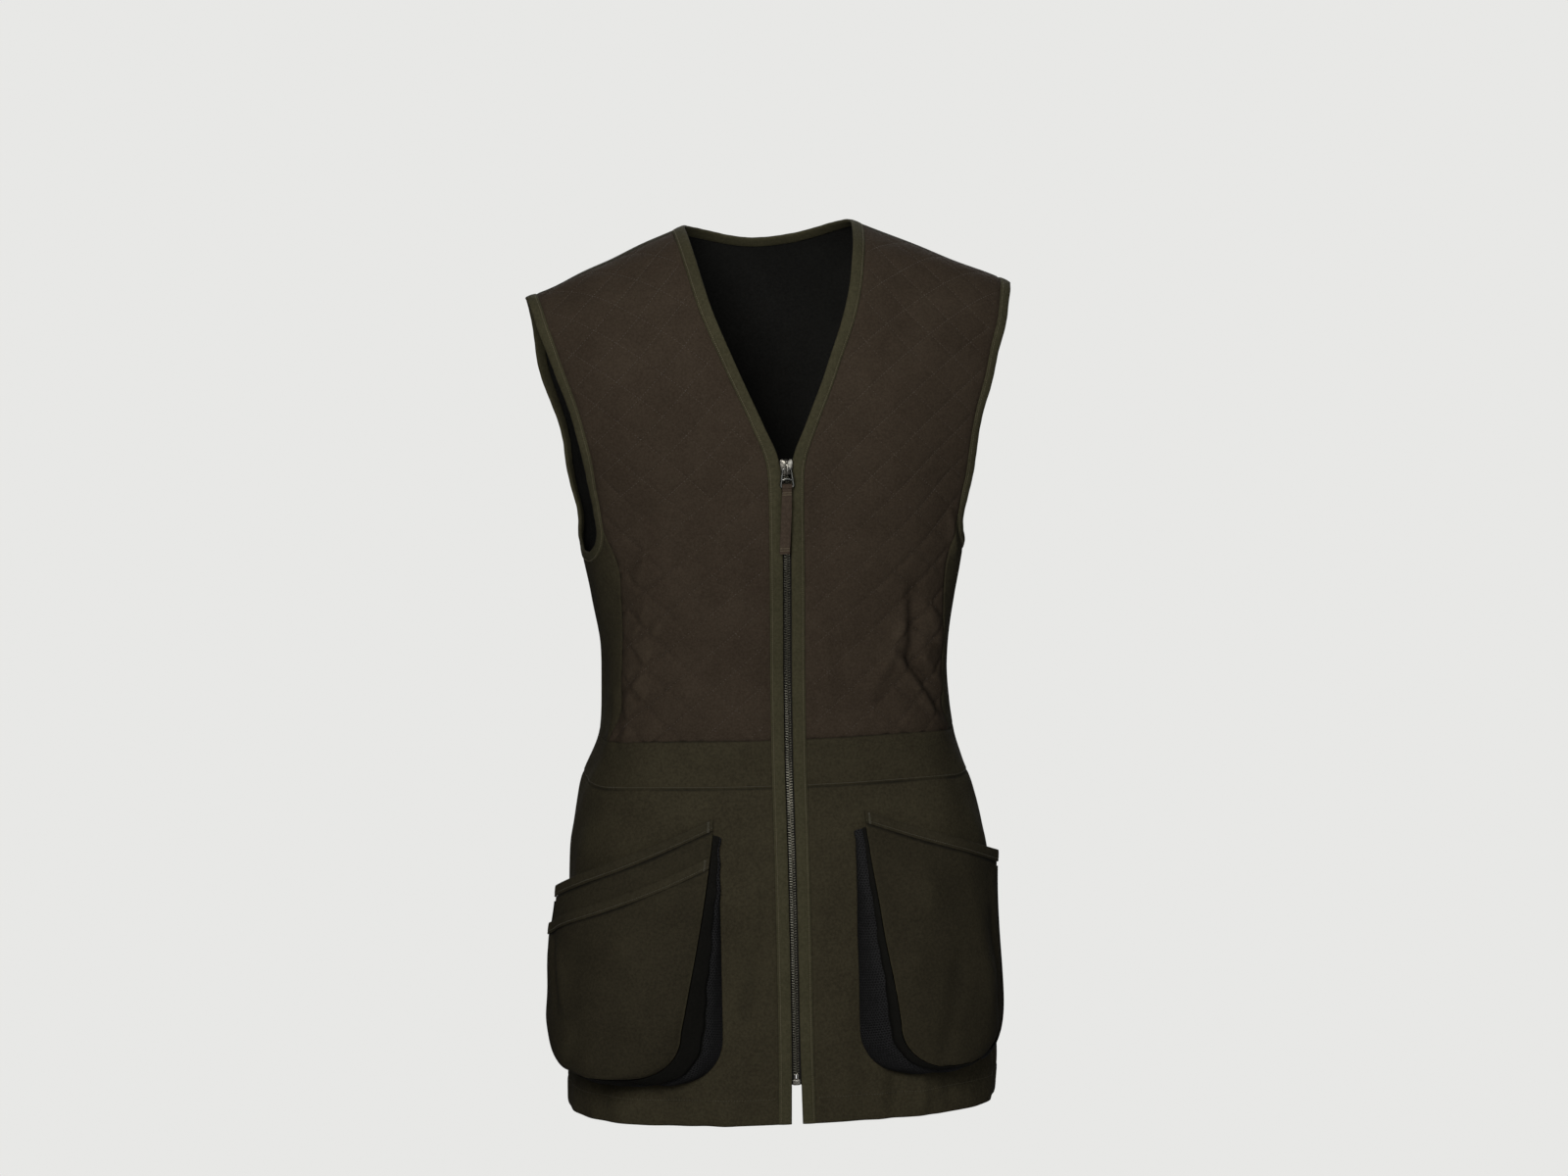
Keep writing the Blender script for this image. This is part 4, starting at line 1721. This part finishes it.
@dataclass
class BellowsPocket(Assembly):
    """One pocket: its front, the turned rim at its mouth, a second layer on the right one, and the
    gusset, half cloth and half mesh, with a pleat half way."""

    cut: PocketCut
    corner: float = 0.042
    rim_width: float = 0.01
    rim_proud: float = 0.0005
    seat: float = 0.0021
    gusset_depth: float = 0.03
    gusset_start: float = 0.016
    layer_drop: float = 0.033
    columns: int = 81
    side_rows: int = 51
    corner_rows: int = 31
    drop_rows: int = 17
    gusset_columns: int = 25
    pleat: float = 0.005
    thread: float = 0.00024
    sewing: Stitching = field(default_factory=Stitching)

    def side_edge(self, top_arc: float, low_arc: float, top: float, bottom: float, inwards: int,
                  drops: Array) -> Places:
        """One side of the outline: rows at the given drops below the top, straight rows on to the
        corner, and a quarter round.

        Args:
            top_arc, low_arc: ways round at its top and at its bottom.
            top, bottom: their heights.
            inwards: 1 where the corner turns away from the centre front, -1 where it turns to it.
            drops: drops of its upper rows.

        Returns:
            The ways round and the heights of its rows.
        """
        rest = np.linspace(top - drops[-1], bottom + self.corner, self.side_rows)[1:]
        heights = np.append(top - drops, rest)
        share = (top - heights) / (top - bottom)
        way = top_arc + (low_arc - top_arc) * share**1.2
        turn = np.linspace(0, math.pi / 2, self.corner_rows)[1:]
        return (np.append(way, way[-1] + inwards * self.corner * (1 - np.cos(turn))),
                np.append(heights, bottom + self.corner * (1 - np.sin(turn))))

    def both_edges(self, arcs: Sequence[float], bottom: float, drops: Array) -> list[Places]:
        """The inner and the outer side of an outline, from the ways round of the inner one's top and
        bottom and of the outer one."""
        top, outer = self.cut.top, arcs[-1]
        return [self.side_edge(arcs[0], arcs[-2], top, bottom, 1, drops),
                self.side_edge(outer, outer, top - self.cut.rim_drop, bottom, -1, drops)]

    def stand_off(self, across: Array, down: Array) -> Array:
        """How far the front stands off the skirt: little at the inner top corner, a mouth that opens
        outwards, and the bellows' depth near the bottom."""
        cut, depth = self.cut, self.gusset_depth
        at_top = self.seat + cut.mouth * across
        edge = depth + (cut.outer_bulge - depth) * across
        deep = edge + (cut.bulge - depth) * np.sin(math.pi * across)
        swell = np.sin(np.clip(down / 0.85, 0, 1) * math.pi / 2) ** 1.2
        return at_top + (np.maximum(deep, at_top) - at_top) * swell

    def on_skirt(self, arc: Array, height: Array) -> Ply:
        """Places on the skirt, from ways round and heights."""
        level = height - BODY.chest_line
        return self.ply(FLAT.around(arc, level), level, self.cut.side)

    def front_ply(self, drops: Array) -> tuple[Ply, Array, Array]:
        """Places of the front's rows, their stand-off, and their relief mark."""
        cut, across = self.cut, np.linspace(0, 1, self.columns)
        inner, outer = self.both_edges(cut.front_arcs, cut.bottom, drops)
        arc, height = (a[:, None] * (1 - across) + b[:, None] * across
                       for a, b in zip(inner, outer))
        rim = cut.top - cut.rim_drop * across
        down = (rim - height) / (rim - cut.bottom)
        ply = self.on_skirt(arc, height)
        flat = np.stack([arc * cut.side.value, np.full_like(arc, -1.0), height], -1)
        soft = (0.0007 * np.sin(arc * 95 + height * 60 + 1.0)
                + 0.0006 * np.sin(arc * 40 - height * 110 + 2.0))
        edge = np.minimum(across, 1 - across) + 0.02
        calm = smoothstep(0.0, 0.1, down) * smoothstep(0.0, 0.07, edge)
        fold = (sum(crease.lift(flat) for crease in cut.creases) + soft) * calm
        ply.lift = ply.lift * (1 - 0.6 * calm)
        off = self.stand_off(across, down) + fold
        way, run = (travel(ply.off(off), axis) for axis in (0, 1))
        ply.u, ply.v = (run - run[:, -1:] / 2) * cut.side.value, rim - way
        return ply, off, np.clip(fold / 0.009, -0.3, 0.4) - 1.6 * bump(way, 0.0022)

    def drops(self) -> Array:
        """Drops of the front's upper rows below its rim line."""
        return np.linspace(self.rim_width + SEAM_GAP, self.layer_drop + self.rim_width,
                           self.drop_rows)

    def build(self) -> None:
        """Make the pocket."""
        word = self.cut.side.word
        ply, off = self.layer(f"pocket_{word}", f"pocket_{word}_front", self.drops(), 0.0)
        self.rim(f"pocket_{word}_mouth", f"pocket_{word}_rim", 0.0, 0.0)
        if self.cut.side is Side.RIGHT:
            lift = 2 * SEAM_GAP + TWILL_THICKNESS
            self.layer("pocket_right_second", "pocket_right_layer",
                       np.array([self.layer_drop + self.rim_width]), lift)
            self.rim("pocket_right_second_mouth", "pocket_right_layer_rim", self.layer_drop, lift)
        self.gusset(ply, off)
        self.sewn(self.sewing, f"pocket_{word}_stitching", "olive_thread")

    def layer(self, name: str, node: str, drops: Array, lift: float) -> tuple[Ply, Array]:
        """A layer of the front.

        Args:
            name, node: the piece and the CAD node it stands for.
            drops: drops of its upper rows below the rim line.
            lift: how far it lies off the first layer.

        Returns:
            The front's places and their stand-off.
        """
        ply, off, relief = self.front_ply(drops)
        self.wall(name, node, ply, relief, off + lift, TWILL_THICKNESS, "pocket_cloth",
                  "twill_inside", held="hung", roll=0.0012, roll_width=0.0028, edge_mark=0.75)
        return ply, off

    def rim(self, name: str, node: str, drop: float, lift: float) -> None:
        """A turned rim under a mouth line, with its stitches and a bar tack at its inner corner.

        Args:
            name, node: the piece and the CAD node it stands for.
            drop: drop of the mouth line below the rim line.
            lift: how far it lies off the first layer.
        """
        ply, off, _ = self.front_ply(np.array([drop, drop + self.rim_width + OVERLAP]))
        upper, lower = ply.off(off + lift)[:2]
        normal = unit(ply.normal[0] + ply.normal[1])
        self.band(name, node, upper, lower, normal, self.rim_proud, TWILL_THICKNESS + self.rim_proud,
                  "rim", "green_binding", around=24, groove=(0.5, 0.00025))
        path = upper + (lower - upper) * 0.76 + normal * self.rim_proud
        self.sewing.row(path, normal, 0.0022, 0.0016, self.thread)
        down, out = lower[2] - upper[2], np.tile(normal[2], (12, 1))
        corner = upper[2] + down * np.linspace(0.1, 0.95, 12)[:, None] + out * self.rim_proud
        across = np.tile(unit(np.cross(unit(down), normal[2])), (12, 1))
        self.sewing.place(corner, across, out, 0.0026, 0.00026, 0.0)

    def gusset(self, ply: Ply, off: Array) -> None:
        """The gusset: from the skirt to the edge of the front, down the inner side, along the bottom
        and up the outer side. Across it, with t from 0 to 1, it bellies out by 4 t (1 - t) and sinks
        at the pleat by e^-((t - cloth share) / 0.07)^2.

        Args:
            ply, off: the front's places and their stand-off.
        """
        cut, start = self.cut, self.gusset_start
        middle = ply.off(off - TWILL_THICKNESS / 2)
        drops = np.interp(self.drops(), [self.rim_width + SEAM_GAP, self.layer_drop,
                                         self.layer_drop + self.rim_width],
                          [start, start + 0.012, start + 0.024])
        inner, outer = self.both_edges(cut.seam_arcs, cut.seam_bottom, drops)
        share = np.linspace(0, 1, self.columns)[1:-1]
        seam = self.on_skirt(*(np.concatenate([a, a[-1] * (1 - share) + b[-1] * share, b[::-1]])
                               for a, b in zip(inner, outer)))
        edge = np.concatenate([middle[:, 0], middle[-1, 1:-1], middle[::-1, -1]])
        heart = middle[:, self.columns // 2].mean(axis=0)
        along = unit(np.gradient(edge, axis=0))
        row = np.arange(len(edge))
        soft = sum(np.roll(along, k, axis=0) for k in range(-3, 4))
        along = unit(np.where(np.minimum(row, row[::-1])[:, None] > 4, soft, along))
        away = np.cross(along, seam.normal)
        away = unit(away * np.sign((away * (edge - heart)).sum(-1, keepdims=True)))
        at_front = edge + away * (MESH_THICKNESS / 2 + SEAM_GAP)
        t = np.linspace(0, 1, self.gusset_columns)
        run = travel(edge)
        turns = run * 2 * math.pi
        wrinkle = 0.0011 * np.sin(turns / 0.034 + 0.8) * np.sin(turns / 0.083 + 0.3)
        belly = (0.016 * t * (1 - t) - self.pleat * bump(t - cut.cloth_share, 0.07)
                 + wrinkle[:, None] * np.sin(t * math.pi))
        grid = (at_front[:, None] * (1 - t)[:, None] + seam.off(MESH_THICKNESS)[:, None] * t[:, None]
                + away[:, None] * belly[..., None])[2:-2]
        normal = unit(np.cross(np.gradient(grid, axis=0), np.gradient(grid, axis=1)))
        normal = normal * np.sign((normal * away[2:-2, None]).sum(-1, keepdims=True))
        half = normal * MESH_THICKNESS / 2
        rows, columns = grid.shape[:2]
        outside, inside, ends = wall_faces(rows, columns)
        mesh = np.tile(np.arange(columns - 1) >= columns * cut.cloth_share, rows - 1)
        width = travel(grid, 1)
        shade = np.tile(-0.9 * bump(t - cut.cloth_share, 0.05), rows)
        parts = MeshParts()
        parts.add(np.stack([grid + half, grid - half]).reshape(-1, 3),
                  [outside[mesh], outside[~mesh], inside[mesh], inside[~mesh], ends],
                  np.tile(pair(width, run[2:-2, None]).reshape(-1, 2), (2, 1)), (1, 0, 1, 0, 0),
                  np.append(shade, 0 * shade))
        made = self.enter(parts, f"gusset_{cut.side.word}", ("gusset_cloth", "mesh"),
                          f"pocket_{cut.side.word}_gusset", "black_mesh", crease=70)


# ---- light, floor and camera
@dataclass(frozen=True)
class SoftLight:
    """A square light that looks at the vest."""

    name: str
    place: tuple[float, float, float]
    size: float
    power: float
    colour: tuple[float, float, float] = (1.0, 1.0, 1.0)
    target: tuple[float, float, float] = (0.0, 0.0, -0.4)

    def build(self) -> None:
        """Add the light."""
        lamp = bpy.data.lights.new(self.name, "AREA")
        lamp.shape, lamp.size, lamp.energy, lamp.color = "SQUARE", self.size, self.power, self.colour
        made = bpy.data.objects.new(self.name, lamp)
        made.location = self.place
        aim = Vector(self.target) - Vector(self.place)
        made.rotation_euler = aim.to_track_quat("-Z", "Y").to_euler()
        bpy.context.scene.collection.objects.link(made)


@dataclass(frozen=True)
class Studio:
    """A pale floor and backdrop, soft lights, and the camera at the photograph's angle."""

    floor_height: float = -1.35
    floor_size: float = 60.0
    pale: Colour = (0.806, 0.806, 0.791, 1.0)
    floor_colour: Colour = (0.22, 0.22, 0.22, 1.0)
    ambient: float = 0.1
    yaw: float = math.radians(6.0)
    elevation: float = math.radians(12.3)
    roll: float = math.radians(0.85)
    distance: float = 10.0
    frame_width: float = 1.408
    target: tuple[float, float, float] = (0.0, 0.0, -0.37)
    centre_shift: tuple[float, float, float] = (0.00912, 0.03698, 0.0)
    lights: tuple[SoftLight, ...] = (
        SoftLight("key", (-0.95, -3.2, 1.1), 1.2, 118.0, (1.0, 0.985, 0.96)),
        SoftLight("fill", (1.0, -3.2, -0.2), 1.8, 22.0, (0.96, 0.98, 1.0)),
        SoftLight("top", (0.2, 0.3, 2.4), 1.6, 22.0),
        SoftLight("behind", (0.4, 2.8, 0.9), 2.0, 55.0))

    def build(self) -> None:
        """Make the floor, the world, the lights and the camera."""
        self.floor()
        self.world()
        for light in self.lights:
            light.build()
        self.camera()
        bpy.context.scene.view_settings.view_transform = "Standard"

    def floor(self) -> None:
        """A large pale square that can't be seen from below."""
        half = self.floor_size / 2
        mesh = bpy.data.meshes.new("floor")
        mesh.from_pydata([(x * half, y * half, self.floor_height) for x, y in (
            (-1, -1), (1, -1), (1, 1), (-1, 1))], [], [(0, 1, 2, 3)])
        made = bpy.data.objects.new("floor", mesh)
        bpy.context.scene.collection.objects.link(made)
        pale = bpy.data.materials.new("pale_floor")
        pale.use_nodes = True
        g = Graph(pale.node_tree)
        diffuse = g.node("BsdfDiffuse", {"Color": self.floor_colour})[0]
        seen = g.node("Emission", {"Color": self.pale})[0]
        to_camera = g.node("LightPath")["Is Camera Ray"]
        above = g.node("MixShader", {0: to_camera, 1: diffuse, 2: seen})[0]
        back, clear = g.node("NewGeometry")["Backfacing"], g.node("BsdfTransparent")[0]
        g.close(g.node("MixShader", {0: back, 1: above, 2: clear})[0])
        mesh.materials.append(pale)

    def world(self) -> None:
        """A pale backdrop to the camera, and a weaker even light on the vest."""
        world = bpy.data.worlds.new("studio")
        world.use_nodes = True
        g = Graph(world.node_tree)
        to_camera = g.node("LightPath")["Is Camera Ray"]
        strength = g.spread(to_camera, 0, 1, self.ambient, 1.0, False)
        g.close(g.node("Background", {"Color": self.pale, "Strength": strength})[0], "OutputWorld")
        bpy.context.scene.world = world

    def camera(self) -> None:
        """The camera: it looks down by the elevation and is turned a little to the side."""
        level = math.cos(self.elevation)
        forward = Vector((math.sin(self.yaw) * level, math.cos(self.yaw) * level,
                          -math.sin(self.elevation)))
        turn = forward.to_track_quat("-Z", "Y").to_matrix() @ Matrix.Rotation(-self.roll, 3, "Z")
        aim = Vector(self.target) + turn @ Vector(self.centre_shift)
        lens = bpy.data.cameras.new("camera")
        lens.sensor_width = 36.0
        lens.lens = 36.0 * self.distance / self.frame_width
        lens.clip_start, lens.clip_end = 0.1, 200.0
        made = bpy.data.objects.new("camera", lens)
        made.matrix_world = Matrix.Translation(aim - forward * self.distance) @ turn.to_4x4()
        bpy.context.scene.collection.objects.link(made)
        bpy.context.scene.camera = made


# ---- all together
FINISHES = (
    ClothFinish("suede", rgba(39, 32, 25), rgba(57, 49, 40), rgba(84, 74, 61), rgba(20, 16, 12),
                Weave.RIBS, cross_pitch=0.0007, patch_scale=26, speck_scale=520, relief=0.55,
                depth=0.00035, gloss=0.05, thread_share=0.18),
    ClothFinish("twill", rgba(35, 31, 22), rgba(54, 50, 36), rgba(66, 62, 46), rgba(16, 15, 10)),
    ClothFinish("pocket_cloth", rgba(29, 26, 18), rgba(45, 41, 29), rgba(60, 56, 41),
                rgba(14, 13, 9)),
    ClothFinish("twill_inside", rgba(24, 22, 16), rgba(36, 34, 25), rgba(44, 42, 31),
                rgba(12, 11, 8), slant=-0.62),
    ClothFinish("lining", rgba(16, 16, 15), rgba(28, 28, 26), rgba(38, 38, 35), rgba(7, 7, 7),
                pitch=0.0008, slant=0.4),
    ClothFinish("binding", rgba(44, 42, 29), rgba(62, 59, 43), rgba(76, 73, 55), rgba(18, 17, 11),
                Weave.RIBS, pitch=0.0008, relief=0.6, depth=0.0003),
    ClothFinish("rim", rgba(32, 29, 20), rgba(48, 44, 32), rgba(64, 60, 44), rgba(15, 14, 9),
                Weave.RIBS, pitch=0.0008, relief=0.5, depth=0.0003),
    ClothFinish("gusset_cloth", rgba(9, 9, 7), rgba(16, 15, 12), rgba(30, 29, 24), rgba(4, 4, 3),
                pitch=0.0008, slant=0.6),
    ClothFinish("tape", rgba(20, 20, 18), rgba(32, 31, 28), rgba(44, 43, 38), rgba(8, 8, 7),
                Weave.RIBS, pitch=0.0007, cross_pitch=0.0011, relief=0.5, depth=0.0002),
    ClothFinish("puller_cloth", rgba(44, 36, 30), rgba(66, 56, 46), rgba(84, 73, 60),
                rgba(20, 16, 13), Weave.RIBS, pitch=0.0008, cross_pitch=0.0008, relief=0.5,
                depth=0.0003, rough_low=0.7),
    MeshFinish("mesh", rgba(9, 9, 9), rgba(29, 29, 30)),
    MetalFinish("nickel", (0.12, 0.115, 0.1, 1.0), (0.3, 0.285, 0.25, 1.0)),
    MetalFinish("gunmetal", (0.06, 0.06, 0.055, 1.0), (0.13, 0.13, 0.12, 1.0)),
    MetalFinish("teeth", (0.07, 0.065, 0.05, 1.0), (0.17, 0.16, 0.125, 1.0), 420.0),
    ThreadFinish("thread", rgba(56, 48, 33), rgba(92, 82, 59)),
    ThreadFinish("olive_thread", rgba(38, 35, 24), rgba(60, 56, 39)),
    ThreadFinish("quilt_thread", rgba(44, 37, 30), rgba(66, 57, 47)))


def main() -> None:
    """Build the studio and every sub-assembly."""
    logging.basicConfig(level=logging.INFO, format="%(name)s %(message)s")
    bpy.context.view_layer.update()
    Studio().build()
    effects = Effects()
    finishes = {finish.name: finish.build(effects) for finish in FINISHES}
    for assembly in (QuiltedFronts, TwillPanels, Bindings, FrontZip):
        assembly(finishes).build()
    for cut in POCKETS:
        BellowsPocket(finishes, cut).build()


if __name__ == "__main__":
    main()
